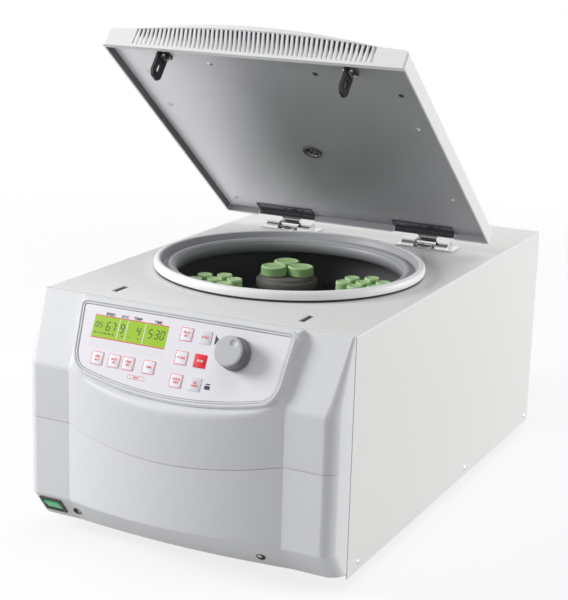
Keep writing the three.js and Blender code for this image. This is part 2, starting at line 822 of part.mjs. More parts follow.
// The switch sits on the chamfer: x across, y up the slope and z out of it.
const chamferRun = [pillarReach - chamferBottomReach, chamferTopZ - chamferBottomZ];
const chamferAngle = Math.PI / 2 + Math.atan2(chamferRun[0], chamferRun[1]);
const chamferDown = switchDown / Math.hypot(...chamferRun);
const switchOrigin = [switchX, -pillarReach + chamferRun[0] * chamferDown, chamferTopZ - chamferRun[1] * chamferDown];
const onChamfer = (shape, from, to) => onPlane(shape, from, to, chamferAngle, switchOrigin, 2);
const switchHole = [switchWidth - switchBorder + touchGap, switchHeight - switchBorder + touchGap];

function makeFrontLowerShell() {
  const columns = frontColumns();
  const grid = lowerRows().map((row) => columns.map((column) => frontPoint(column, row)));
  const hole = roundedRectangle(...switchHole, keyCorner);
  return cut(shellOf(grid, mouldingWall), onChamfer(hole, -mouldingWall - cutOverrun, cutOverrun));
}

// Switch frame: a flanged cup in the chamfer.
function makeSwitchFrame() {
  const sleeve = [switchWidth - switchBorder - touchGap, switchHeight - switchBorder - touchGap];
  const flange = onChamfer(roundedRectangle(switchWidth, switchHeight, keyCorner), touchGap, switchFlange);
  const cup = onChamfer(roundedRectangle(...sleeve, keyCorner), -switchDepth, switchFlange / 2);
  const well = roundedRectangle(sleeve[0] - switchBorder, sleeve[1] - switchBorder, keyCorner);
  return cut(join(flange, cup), onChamfer(well, -switchDepth + switchFlange, switchFlange + cutOverrun));
}

// Rocker: turned on at rest, pivoting across the switch.
function makeRocker() {
  const width = switchWidth - 2 * switchBorder - touchGap - 2 * rockerGap;
  const height = switchHeight - 2 * switchBorder - touchGap - 4 * rockerGap;
  const geometry = new THREE.ExtrudeGeometry(
    roundedRectangle(width, height, keyCorner),
    { depth: rockerThickness, bevelEnabled: false, curveSegments: 2 },
  );
  geometry.translate(0, 0, rockerPivotDepth + rockerProud - rockerThickness);
  return solidOf(geometry);
}

// Keypad panel: the flat front plate of the console.
function makeKeypadPanel() {
  let plate = onPanel(panelOutline(0), -panelSheet, 0, 6);
  const [low, high] = [-panelSheet - cutOverrun, cutOverrun];
  for (const [x, y] of keyPlaces) {
    const hole = roundedRectangle(keyWidth + 2 * keyGap, keyHeight + 2 * keyGap, keyCorner + keyGap, x, y);
    plate = cut(plate, onPanel(hole, low, high, 2));
  }
  const window = roundedRectangle(displayWidth + 2 * touchGap, displayHeight + 2 * touchGap, keyCorner, displayX, -displayDown);
  const shaftHole = new THREE.Shape();
  shaftHole.absarc(knobX, -knobDown, encoderShaftRadius + 1.5 * touchGap, 0, Math.PI * 2);
  return cut(plate, onPanel(window, low, high, 1), onPanel(shaftHole, low, high, 4));
}

function makeKey([x, y]) {
  const outer = touchGap;
  return onPanel(roundedRectangle(keyWidth, keyHeight, keyCorner, x, y), outer - keyThickness, outer, 2);
}

function makeDisplayWindow() {
  return onPanel(roundedRectangle(displayWidth, displayHeight, keyCorner, displayX, -displayDown), -panelSheet, 0, 2);
}

// Control board behind the console: standoffs reach the shell, and the encoder's shaft passes
// through it into the knob.
function makeControlBoard() {
  const back = panelFloor - mouldingWall - boardStandoff;
  const centreY = -(panelEdgeTop + panelCornerDown) / 2;
  let board = onPanel(roundedRectangle(boardWidth, boardHeight, keyCorner, 0, centreY), back - boardSheet, back, 1);
  for (const sx of [-1, 1]) {
    for (const sy of [-1, 1]) {
      const post = new THREE.Shape();
      const reach = [boardWidth / 2 - standoffRadius * 2, boardHeight / 2 - standoffRadius * 2];
      post.absarc(sx * reach[0], centreY + sy * reach[1], standoffRadius, 0, Math.PI * 2);
      board = join(board, onPanel(post, back - boardSheet / 2, back + boardStandoff - touchGap, 3));
    }
  }
  const body = roundedRectangle(encoderBodySide, encoderBodySide, keyCorner, knobX, -knobDown);
  const shaft = new THREE.Shape();
  shaft.absarc(knobX, -knobDown, encoderShaftRadius, 0, Math.PI * 2);
  board = join(board, onPanel(body, back - boardSheet / 2, back + boardStandoff / 2, 1));
  return join(board, onPanel(shaft, back, knobBoreDepth - touchGap, 4));
}

// Knob: a turned cap with a finger dimple left to its face finish, on the encoder's shaft.
function makeKnob() {
  const shape = turned([
    [0, touchGap * 2], [knobSkirtRadius, touchGap * 2], [knobSkirtRadius, knobEdge * 2], [knobRadius, knobEdge * 3],
    [knobRadius, knobHeight - knobEdge], [knobRadius - knobEdge, knobHeight], [0, knobHeight],
  ], roundSegments / 2);
  return cut(shape, bar('z', encoderShaftRadius + touchGap, -cutOverrun, knobBoreDepth, [0, 0]));
}

// Bowl: a floor dish with a hole for the drive shaft, a drum wall on it, and a shoulder ring with
// the neck that stands up through the cover.
function makeBowlFloor() {
  const wall = bowlRadius + bowlSheet;
  const floor = bowlFloorZ;
  return turned([
    [wall, floor + bowlCorner], [wall - bowlCorner, floor - bowlSheet], [bowlShaftHole, floor - bowlSheet],
    [bowlShaftHole, floor], [bowlRadius - bowlCorner, floor], [bowlRadius, floor + bowlCorner],
  ]);
}

function makeBowlWall() {
  const bottom = bowlFloorZ + bowlCorner + touchGap;
  const top = bowlShoulderZ - bowlSheet - touchGap;
  return turned([[bowlRadius, bottom], [bowlRadius + bowlSheet, bottom], [bowlRadius + bowlSheet, top], [bowlRadius, top]]);
}

function makeBowlNeck() {
  const neck = bowlMouthRadius + bowlSheet;
  const wall = bowlRadius + bowlSheet;
  const shoulder = bowlShoulderZ;
  return turned([
    [bowlMouthRadius, bowlMouthTop], [neck, bowlMouthTop], [neck, shoulder], [wall, shoulder],
    [wall, shoulder - bowlSheet], [bowlMouthRadius, shoulder - bowlSheet],
  ]);
}

function makeGasket() {
  const base = coverHeight + touchGap;
  const top = coverHeight + gasketHeight;
  return turned([
    [gasketInner, base], [gasketRadius, base], [gasketRadius - gasketRound / 4, top - gasketRound],
    [gasketRadius - gasketRound, top], [gasketInner + gasketRound, top], [gasketInner, top - gasketRound],
  ]);
}

function makeInsulation() {
  const inner = insulationInner;
  const floor = bowlFloorZ - bowlSheet - touchGap;
  const bottom = deckZ + deckSheet + touchGap;
  return turned([
    [insulationHole, bottom], [insulationRadius, bottom], [insulationRadius, bowlShoulderZ], [inner, bowlShoulderZ],
    [inner, bowlFloorZ + bowlCorner], [inner - bowlCorner, floor], [insulationHole, floor],
  ]);
}

// Motor: hangs in the deck's hole on a flange that rests on a rubber ring.
const motorFlangeZ = deckZ + deckSheet + motorMountHeight + 2 * touchGap;
function makeMotor() {
  const top = motorFlangeZ + motorFlange;
  const bore = shaftRadius + touchGap;
  return turned([
    [0, motorBottomZ], [motorRadius, motorBottomZ], [motorRadius, motorFlangeZ], [motorFlangeRadius, motorFlangeZ],
    [motorFlangeRadius, top], [bore, top], [bore, shaftBottomZ - touchGap], [0, shaftBottomZ - touchGap],
  ]);
}

// Motor mount: a rubber ring between the deck and the motor's flange.
function makeMotorMount() {
  const bottom = deckZ + deckSheet + touchGap;
  const top = bottom + motorMountHeight;
  return turned([[motorMountInner, bottom], [motorMountOuter, bottom], [motorMountOuter, top], [motorMountInner, top]]);
}

function makeDriveShaft() {
  return turned([[0, shaftBottomZ], [shaftRadius, shaftBottomZ], [shaftRadius, shaftTopZ], [0, shaftTopZ]], smallRound);
}

// Rotor: a cross whose arms widen between the buckets and end in short trunnion pins.
function makeRotor() {
  const arms = new THREE.Shape();
  arms.absarc(0, 0, rotorReach, 0, Math.PI * 2);
  let body = extrudeZ(arms, rotorBottomZ, rotorTopZ, roundSegments / 4);
  const [low, high] = [rotorBottomZ - cutOverrun, rotorTopZ + cutOverrun];
  const barEdge = rotorBarHalf * Math.SQRT2;
  const bay = polygon([
    [-rotorBayHalf, rotorReach + cutOverrun], [-rotorBayHalf, rotorBayHalf + barEdge],
    [barEdge - rotorHubReach - cutOverrun, rotorHubReach + cutOverrun], [-rotorHubHalf, rotorHubReach],
    [rotorHubHalf, rotorHubReach], [rotorHubReach + cutOverrun - barEdge, rotorHubReach + cutOverrun],
    [rotorBayHalf, rotorBayHalf + barEdge], [rotorBayHalf, rotorReach + cutOverrun],
  ]);
  for (let k = 0; k < bucketCount; k += 1) {
    const geometry = new THREE.ExtrudeGeometry(bay, { depth: high - low, bevelEnabled: false });
    geometry.translate(0, 0, low);
    geometry.rotateZ(k * Math.PI * 2 / bucketCount);
    body = cut(body, solidOf(geometry));
    for (const side of [-1, 1]) {
      const pin = new THREE.CylinderGeometry(bucketPinRadius, bucketPinRadius, bucketPinReach * 2, smallRound / 2);
      pin.rotateZ(Math.PI / 2);
      pin.translate(side * rotorBayHalf, bucketPivotRadius, bucketPivotZ);
      pin.rotateZ(k * Math.PI * 2 / bucketCount);
      body = join(body, solidOf(pin));
    }
  }
  return cut(body, bar('z', shaftRadius + touchGap, low, shaftTopZ + touchGap, [0, 0]));
}

function makeRotorNut() {
  const bottom = rotorTopZ + touchGap;
  const top = bottom + rotorNutHeight;
  return turned([[0, bottom], [rotorNutRadius, bottom], [rotorNutRadius - knobEdge, top], [0, top]], smallRound);
}

// Bucket: a round cup hung by two ears, whose slots sit over the rotor's pins. Its frame has the
// pivot line along x through the origin.
function makeBucket() {
  const floor = -bucketBelowPivot;
  const rim = bucketAbovePivot;
  const inner = bucketRadius - bucketWall;
  const cup = turned([
    [0, floor], [bucketRadius - bucketCorner, floor], [bucketRadius, floor + bucketCorner], [bucketRadius, rim],
    [inner, rim], [inner, floor + bucketFloor + bucketCorner], [inner - bucketCorner, floor + bucketFloor],
    [0, floor + bucketFloor],
  ], roundSegments / 2);
  const earTop = Math.min(rim, bucketEarHalf);
  const earOuter = rotorBayHalf - touchGap;
  const slotDrop = bucketEarHalf + bucketPinHole;
  let body = cup;
  for (const side of [-1, 1]) {
    const span = [inner + bucketWall / 2, earOuter].map((x) => side * x).sort((p, q) => p - q);
    body = join(body, box([span[0], -bucketEarHalf, -slotDrop], [span[1], bucketEarHalf, earTop]));
    const slot = [bucketRadius + touchGap, earOuter + cutOverrun].map((x) => side * x).sort((p, q) => p - q);
    body = cut(body, bar('x', bucketPinHole, slot[0], slot[1], [0, 0]));
    body = cut(body, box([slot[0], -bucketPinHole, -slotDrop - cutOverrun], [slot[1], bucketPinHole, 0]));
  }
  return body;
}

// Rack: the adapter that fills a bucket, with its capped tubes standing in it.
function makeRack(tubes, circle, capRadius, capHeight, withMiddle) {
  const floor = -bucketBelowPivot + bucketFloor + touchGap;
  const seat = bucketAbovePivot + adapterAboveBucket;
  const radius = bucketRadius - bucketWall - adapterClearance;
  const lip = radius + adapterLip;
  const lipLow = bucketAbovePivot + touchGap;
  const lipHigh = seat - adapterStep;
  let rack = turned([
    [0, floor], [radius - bucketCorner, floor], [radius, floor + bucketCorner], [radius, lipLow], [lip, lipLow],
    [lip, lipHigh], [adapterTopRadius, lipHigh], [adapterTopRadius, seat], [0, seat],
  ], roundSegments / 2);
  const places = [];
  for (let i = 0; i < tubes; i += 1) {
    const angle = Math.PI / 2 + i * Math.PI * 2 / tubes;
    places.push([circle * Math.cos(angle), circle * Math.sin(angle)]);
  }
  if (withMiddle) places.push([0, 0]);
  for (const [x, y] of places) {
    const neck = bar('z', capRadius - tubeNeckInset, seat - tubeNeckInset, seat + tubeNeck, [x, y], smallRound);
    const cap = bar('z', capRadius, seat + tubeNeck, seat + tubeNeck + capHeight, [x, y], smallRound);
    rack = join(rack, neck, cap);
  }
  return rack;
}

// The lid's section across its width: straight sides, rounded edges and a crowned top.
function lidSection(inset) {
  const half = lidWidth / 2 - inset;
  const side = lidSkirtZ + lidSideHeight - inset;
  const crown = side + lidCrown;
  const round = lidEdgeRound - inset;
  const shape = new THREE.Shape();
  const bottom = inset === 0 ? lidSkirtZ : lidSkirtZ - cutOverrun;
  shape.moveTo(-half, bottom);
  shape.lineTo(half, bottom);
  shape.lineTo(half, side - round);
  shape.absarc(half - round, side - round, round, 0, Math.PI / 2);
  shape.quadraticCurveTo(0, 2 * crown - side, -half + round, side);
  shape.absarc(-half + round, side - round, round, Math.PI / 2, Math.PI);
  return shape;
}

// A crescent across the front of the lid, reaching forward from its front plane by a bow.
function gripCrescent(reach) {
  const points = [];
  const y = (share) => lidFrontY + reach * bow(share);
  for (let i = 0; i <= bellyColumns; i += 1) {
    const share = (2 * i) / bellyColumns - 1;
    points.push([share * gripHalfWidth, y(share)]);
  }
  const away = Math.sign(reach) * finBury;
  points.push([gripHalfWidth, lidFrontY - away], [-gripHalfWidth, lidFrontY - away]);
  return polygon(points);
}

// Lid shell: a hollow cap with a finned finger recess along its front edge.
function makeLidShell() {
  const top = lidSkirtZ + lidSideHeight + lidCrown + cutOverrun;
  const middle = (lidFrontY + lidRearY) / 2;
  const plan = extrudeZ(roundedRectangle(lidWidth, lidLength, lidPlanCorner, 0, middle), lidSkirtZ - cutOverrun, top, 4);
  const lip = extrudeZ(gripCrescent(-gripLip), lidSkirtZ + gripTop, top);
  const crowned = extrudeY(lidSection(0), lidFrontY - gripLip - cutOverrun, lidRearY + cutOverrun, 6);
  let shell = join(plan, lip).intersect(crowned);
  const frontWall = lidWall + gripDepth;
  const insideLength = lidLength - frontWall - lidWall;
  const insidePlan = roundedRectangle(
    lidWidth - 2 * lidWall, insideLength, lidPlanCorner - lidWall, 0, lidFrontY + frontWall + insideLength / 2,
  );
  const hollow = extrudeZ(insidePlan, lidSkirtZ - cutOverrun, top, 4)
    .intersect(extrudeY(lidSection(lidWall), lidFrontY, lidRearY, 6));
  shell = cut(shell, hollow);
  const back = lidFrontY + gripDepth + finBury;
  shell = cut(shell, box(
    [-gripHalfWidth, lidFrontY - cutOverrun, lidSkirtZ + gripBottom], [gripHalfWidth, back - finBury, lidSkirtZ + gripTop],
  ));
  const fins = Math.floor(gripHalfWidth / finPitch);
  for (let i = -fins; i <= fins; i += 1) {
    const x = i * finPitch;
    const b = bow(x / gripHalfWidth);
    const profile = polygon([
      [back, lidSkirtZ + gripBottom - finBury], [lidFrontY + finBury / 2, lidSkirtZ + gripBottom - finBury],
      [lidFrontY - gripLip * b + finBury, lidSkirtZ + gripTop + finBury], [back, lidSkirtZ + gripTop + finBury],
    ]);
    shell = join(shell, extrudeX(profile, x - finThickness / 2, x + finThickness / 2));
  }
  const notchTop = lidSkirtZ + linerRecess;
  for (const side of [-1, 1]) {
    const [x0, x1] = [side * hingeX - leafHalfWidth - notchMargin, side * hingeX + leafHalfWidth + notchMargin];
    shell = cut(shell, box([x0, lidRearY - lidWall - cutOverrun, lidSkirtZ - cutOverrun], [x1, lidRearY + cutOverrun, notchTop]));
  }
  return shell;
}

// Liner: the flat inner plate of the lid.
function makeLidLiner() {
  const frontWall = lidWall + gripDepth;
  const length = lidLength - frontWall - lidWall - 2 * touchGap;
  const outline = roundedRectangle(
    lidWidth - 2 * lidWall - 2 * touchGap, length, lidPlanCorner - lidWall, 0, lidFrontY + frontWall + touchGap + length / 2,
  );
  const plate = extrudeZ(outline, linerZ, linerZ + linerSheet, 4);
  const [low, high] = [linerZ - cutOverrun, linerZ + linerSheet + cutOverrun];
  return cut(plate, bar('z', portHole, low, high, [0, bowlY + portSetback]));
}

// Port: a ring set in the liner over the rotor's axis, closed behind.
function makeLidPort() {
  const face = linerZ - touchGap;
  const sleeve = portHole - touchGap;
  const back = linerZ + linerSheet + portSink;
  const body = turned([
    [0, back], [sleeve, back], [sleeve, face], [portRadius, face], [portRadius, face - knobEdge],
    [portBore, face - knobEdge], [portBore, back - knobEdge], [0, back - knobEdge],
  ], smallRound);
  return body;
}

// Latch hook: an upright plate with a window, hung from a foot under the liner.
function makeLatchHook() {
  const foot = linerZ - touchGap;
  const y = latchY;
  const tip = foot - latchDrop;
  const plate = extrudeX(polygon([
    [y - latchLength / 2, foot - latchFootSheet / 2], [y - latchLength / 2, tip + latchNose],
    [y - latchLength / 2 + latchNose, tip], [y + latchLength / 2 - latchNose, tip],
    [y + latchLength / 2, tip + latchNose], [y + latchLength / 2, foot - latchFootSheet / 2],
  ]), -latchPlate / 2, latchPlate / 2);
  const base = box(
    [-latchFootWidth / 2, y - latchFootLength / 2, foot - latchFootSheet],
    [latchFootWidth / 2, y + latchFootLength / 2, foot],
  );
  const window = box(
    [-latchPlate, y - latchWindowLength / 2, tip + latchWindowUp],
    [latchPlate, y + latchWindowLength / 2, tip + latchWindowUp + latchWindowHeight],
  );
  return cut(join(plate, base), window);
}

// Lock carrier: a beam under the front of the cover's top, with a pocket under each latch slot
// and a guide rib for each bolt.
const boltZ = linerZ - touchGap - latchDrop + latchWindowUp + latchWindowHeight / 2;
function makeLockCarrier() {
  const top = coverUnderside - touchGap;
  const bottom = top - lockHeight;
  const [front, back] = [lockFrontY, lockFrontY + lockDepth];
  let beam = box([-lockHalfWidth, front, bottom], [lockHalfWidth, back, top]);
  const middle = lockRibInner;
  beam = cut(beam, box([-middle, front + lockWall, bottom - cutOverrun], [middle, back - lockWall, top - lockWall]));
  for (const side of [-1, 1]) {
    const pocket = [lockRibOuter, lockHalfWidth - lockWall].map((x) => side * x).sort((p, q) => p - q);
    beam = cut(beam, box([pocket[0], front + lockWall, bottom - cutOverrun], [pocket[1], back - lockWall, top - lockWall]));
    const x = side * latchX;
    const half = [latchPlate / 2 + latchClearX, latchLength / 2 + latchClearY];
    beam = cut(beam, box(
      [x - half[0], Math.max(latchY - half[1], front + lockWall), top - lockWall - cutOverrun],
      [x + half[0], Math.min(latchY + half[1], back - lockWall), top + cutOverrun],
    ));
    const guide = [lockRibInner - cutOverrun, lockRibOuter + cutOverrun].map((v) => side * v).sort((p, q) => p - q);
    beam = cut(beam, bar('x', boltRadius + touchGap, guide[0], guide[1], [latchY, boltZ]));
  }
  return beam;
}

function makeLockBolt(side) {
  const tip = latchX - latchPlate / 2 - boltRest;
  const span = [tip - boltLength, tip].map((x) => side * x).sort((p, q) => p - q);
  return bar('x', boltRadius, span[0], span[1], [latchY, boltZ]);
}

// Hinge base: a foot on the cover with two curled lugs that hold the pin.
function makeHingeBase() {
  const foot = coverHeight + touchGap;
  const half = leafHalfWidth - hingeFootMargin;
  let base = box([-half, pivotY - hingeFootFront, foot], [half, pivotY + hingeFootBack, foot + hingeFootSheet]);
  const lug = new THREE.Shape();
  lug.moveTo(pivotY - hingeFootFront, foot);
  lug.lineTo(pivotY - hingeFootFront, foot + hingeFootSheet);
  lug.quadraticCurveTo(pivotY - barrelRadius * 2, pivotZ + barrelRadius, pivotY, pivotZ + barrelRadius);
  lug.absarc(pivotY, pivotZ, barrelRadius, Math.PI / 2, 0, true);
  lug.lineTo(pivotY + barrelRadius, foot);
  for (const side of [-1, 1]) {
    const x = side * lugOffset;
    base = join(base, extrudeX(lug, x - lugHalfWidth, x + lugHalfWidth, 4));
  }
  const pinHalf = lugOffset + lugHalfWidth;
  const room = leafArmHalf + touchGap;
  const relief = box(
    [-room, pivotY - barrelRadius - touchGap, foot - cutOverrun],
    [room, pivotY + barrelRadius + touchGap, pivotZ - pinRadius - touchGap],
  );
  base = cut(base, relief);
  return join(base, bar('x', pinRadius, -pinHalf, pinHalf, [pivotY, pivotZ]));
}

// Hinge leaf: a plate under the liner with a turned-down rear flange and an arm round the pin.
function makeHingeLeaf() {
  const top = linerZ - touchGap;
  const bottom = top - leafSheet;
  let leaf = box([-leafHalfWidth, lidRearY - leafLength, bottom], [leafHalfWidth, lidRearY, top]);
  leaf = join(leaf, box([-leafHalfWidth, lidRearY - leafSheet, top - leafFlange], [leafHalfWidth, lidRearY, top]));
  leaf = join(leaf, box([-leafArmHalf, lidRearY - leafLength, bottom], [leafArmHalf, pivotY, top]));
  leaf = join(leaf, box([-leafArmHalf, pivotY - barrelRadius, pivotZ], [leafArmHalf, pivotY, top]));
  leaf = join(leaf, bar('x', barrelRadius, -leafArmHalf, leafArmHalf, [pivotY, pivotZ]));
  return cut(leaf, bar('x', pinRadius + touchGap, -leafArmHalf - cutOverrun, leafArmHalf + cutOverrun, [pivotY, pivotZ]));
}

// Compressor: a domed can on a foot.
function makeCompressor() {
  const bottom = panTop + touchGap;
  const top = bottom + compressorHeight;
  return turned([
    [0, bottom], [compressorRadius + compressorFoot, bottom], [compressorRadius + compressorFoot, bottom + panSheet],
    [compressorRadius, bottom + panSheet * 2], [compressorRadius, top - compressorDome],
    [compressorRadius - compressorDome / 2, top - compressorDome / 4], [0, top],
  ], roundSegments / 2);
}

// Condenser: a finned block by the rear panel, with the fan's motor and shaft on its front.
const condenserBackY = rearPanelInnerY - panSheet - 2 * touchGap - condenserClear;
const condenserFrontY = condenserBackY - condenserDepth;
const condenserMiddleZ = panTop + touchGap + condenserHeight / 2;
function makeCondenser() {
  const bottom = panTop + touchGap;
  const [x0, x1] = [condenserX - condenserWidth / 2, condenserX + condenserWidth / 2];
  let block = box([x0, condenserFrontY, bottom], [x1, condenserBackY, bottom + condenserHeight]);
  const pitch = condenserWidth / condenserFins;
  for (let i = 0; i < condenserFins; i += 1) {
    const x = x0 + (i + (1 - condenserFinShare) / 2) * pitch;
    block = cut(block, box(
      [x, condenserBackY - condenserFinDepth, bottom + condenserFinDepth],
      [x + pitch * condenserFinShare, condenserBackY + cutOverrun, bottom + condenserHeight - condenserFinDepth],
    ));
  }
  const motorFront = condenserFrontY - fanStandoff;
  block = join(block, bar('y', fanMotorRadius, motorFront, condenserFrontY + panSheet, [condenserX, condenserMiddleZ]));
  return join(block, bar('y', fanShaftRadius, motorFront - fanWidth, motorFront + panSheet, [condenserX, condenserMiddleZ]));
}

// Fan wheel: a hub with pitched blades, in the frame of its own axle.
function makeFanWheel() {
  let wheel = bar('y', fanHubRadius, -fanWidth / 2, fanWidth / 2, [0, 0]);
  for (let i = 0; i < fanBlades; i += 1) {
    const blade = new THREE.BoxGeometry(fanRadius - fanHubRadius / 2, fanBladeSheet, fanWidth);
    blade.rotateX(Math.PI / 4);
    blade.translate((fanRadius + fanHubRadius / 2) / 2, 0, 0);
    blade.rotateY(i * Math.PI * 2 / fanBlades);
    wheel = join(wheel, solidOf(blade));
  }
  return cut(wheel, bar('y', fanShaftRadius + touchGap, -fanWidth, fanWidth, [0, 0]));
}

// Everything is put together in the case frame and set on its feet.
const machine = new THREE.Group();
machine.position.set(0, -(coverDepth - frontMost) / 2, footDrop);

const paint = 0xe6e5e2;
const moulding = 0xd6d7d9;
piece(machine, 'cover', makeCover(), finish(paint, 0.5, 0.1));
piece(machine, 'base_pan', makeBasePan(), finish(0xb9bbbd, 0.5, 0.7));
piece(machine, 'rear_panel', makeRearPanel(), finish(paint, 0.5, 0.1));
piece(machine, 'mains_inlet', makeMainsInlet(), finish(0x16171a, 0.5, 0));
piece(machine, 'deck', makeDeck(), finish(0xb9bbbd, 0.5, 0.7));
piece(machine, 'front_upper_shell', makeFrontUpperShell(), finish(moulding, 0.45, 0));
piece(machine, 'front_lower_shell', makeFrontLowerShell(), finish(moulding, 0.45, 0));
piece(machine, 'keypad_panel', makeKeypadPanel(), finish(0xf2f2f4, 0.4, 0));
piece(machine, 'display_window', makeDisplayWindow(), finish(0x9bcb1e, 0.3, 0));
piece(machine, 'control_board', makeControlBoard(), finish(0x1d6b3a, 0.6, 0));
piece(machine, 'switch_frame', makeSwitchFrame(), finish(0x1c1d1f, 0.5, 0));

for (const sx of [-1, 1]) {
  for (const sy of [-1, 1]) {
    const name = `foot_${sy < 0 ? 'front' : 'rear'}_${sx < 0 ? 'left' : 'right'}`;
    const foot = piece(machine, name, makeFoot(), finish(0x242424, 0.8, 0));
    foot.position.set(sx * (coverWidth / 2 - footInsetX), coverDepth / 2 + sy * (coverDepth / 2 - footInsetY), 0);
  }
}

const keyNames = [
  'key_run_1', 'key_run_2', 'key_run_3', 'key_run_4', 'key_top_left', 'key_top_right', 'key_middle_left', 'key_stop',
  'key_bottom_left', 'key_bottom_right',
];
keyPlaces.forEach((place, i) => {
  piece(machine, keyNames[i], makeKey(place), finish(keyNames[i] === 'key_stop' ? 0xe11b30 : 0xf4f4f6, 0.4, 0));
});

const knob = piece(machine, 'control_knob', makeKnob(), finish(0xa6a8aa, 0.35, 0.1));
knob.rotation.x = panelAngle;
knob.position.set(knobX, -panelReachAt(knobDown, 0), panelZAt(knobDown, 0));

const rocker = piece(machine, 'power_rocker', makeRocker(), finish(0x1d9b4f, 0.3, 0));
const rockerPivot = new THREE.Vector3(0, 0, -rockerPivotDepth).applyAxisAngle(new THREE.Vector3(1, 0, 0), chamferAngle);
rocker.rotation.x = chamferAngle + rockerTilt;
rocker.position.set(...switchOrigin).add(rockerPivot);

const chamber = new THREE.Group();
chamber.position.set(0, bowlY, 0);
machine.add(chamber);
piece(chamber, 'bowl', makeBowlFloor(), finish(0x8f9194, 0.35, 0.9));
piece(chamber, 'bowl_wall', makeBowlWall(), finish(0x8f9194, 0.35, 0.9));
piece(chamber, 'bowl_neck', makeBowlNeck(), finish(0x8f9194, 0.35, 0.9));
piece(chamber, 'bowl_gasket', makeGasket(), finish(0xdfe0e1, 0.6, 0));
piece(chamber, 'insulation', makeInsulation(), finish(0xd9c9a0, 0.9, 0));
piece(chamber, 'motor', makeMotor(), finish(0x4a4d51, 0.5, 0.6));
piece(chamber, 'motor_mount', makeMotorMount(), finish(0x222222, 0.9, 0));

const spindle = new THREE.Group();
spindle.rotation.z = rotorTurn;
chamber.add(spindle);
piece(spindle, 'drive_shaft', makeDriveShaft(), finish(0xc8cacc, 0.3, 1));
piece(spindle, 'rotor', makeRotor(), finish(0x3d3f42, 0.4, 0.7));
piece(spindle, 'rotor_nut', makeRotorNut(), finish(0xb4b6b9, 0.3, 0.9));
const bucketNames = ['rear', 'left', 'front', 'right'];
bucketNames.forEach((place, k) => {
  const bay = new THREE.Group();
  bay.rotation.z = k * Math.PI * 2 / bucketCount;
  spindle.add(bay);
  const bucket = piece(bay, `bucket_${place}`, makeBucket(), finish(0x55585c, 0.4, 0.6));
  const large = k % 2 === 0;
  const solid = large ? makeRack(largeTubes, largeTubeCircle, largeCapRadius, largeCapHeight, false)
    : makeRack(smallTubes, smallTubeCircle, smallCapRadius, smallCapHeight, true);
  const rack = piece(bay, `tube_rack_${place}`, solid, finish(0x86c06c, 0.6, 0));
  bucket.position.set(0, bucketPivotRadius, bucketPivotZ);
  rack.position.set(0, bucketPivotRadius, bucketPivotZ);
});

piece(machine, 'lock_carrier', makeLockCarrier(), finish(0x55585c, 0.5, 0.6));
piece(machine, 'lock_bolt_left', makeLockBolt(-1), finish(0xc8cacc, 0.3, 1));
piece(machine, 'lock_bolt_right', makeLockBolt(1), finish(0xc8cacc, 0.3, 1));

const lid = new THREE.Group();
lid.position.set(0, pivotY, pivotZ);
lid.rotation.x = -lidOpen;
machine.add(lid);
const lidFrame = new THREE.Group();
lidFrame.position.set(0, -pivotY, -pivotZ);
lid.add(lidFrame);
piece(lidFrame, 'lid_shell', makeLidShell(), finish(0xe4e4e6, 0.45, 0));
piece(lidFrame, 'lid_liner', makeLidLiner(), finish(0x9a9ca0, 0.5, 0.2));
const port = piece(lidFrame, 'lid_port', makeLidPort(), finish(0x707275, 0.3, 0.8));
port.position.y = bowlY + portSetback;
for (const [side, word] of [[-1, 'left'], [1, 'right']]) {
  const hook = piece(lidFrame, `latch_hook_${word}`, makeLatchHook(), finish(0x17181a, 0.5, 0.3));
  hook.position.x = side * latchX;
  const leaf = piece(lidFrame, `hinge_leaf_${word}`, makeHingeLeaf(), finish(0x8c8e91, 0.25, 1));
  leaf.position.x = side * hingeX;
  const base = piece(machine, `hinge_base_${word}`, makeHingeBase(), finish(0x8c8e91, 0.25, 1));
  base.position.x = side * hingeX;
}

const compressor = piece(machine, 'compressor', makeCompressor(), finish(0x1a1b1d, 0.5, 0.4));
compressor.position.set(compressorX, compressorY, 0);
piece(machine, 'condenser', makeCondenser(), finish(0xa9abad, 0.5, 0.8));
const fan = piece(machine, 'fan_wheel', makeFanWheel(), finish(0x2a2b2d, 0.6, 0));
fan.position.set(condenserX, condenserFrontY - fanStandoff - fanWidth / 2 - touchGap, condenserMiddleZ);

export default machine;
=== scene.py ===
# A refrigerated bench centrifuge with its lid open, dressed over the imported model. The model is the
# frame: its nodes stay where they are, and each section below finishes or stands for some of them.
import json
import math
import bmesh
import bpy
import numpy as np
from mathutils import Matrix, Vector

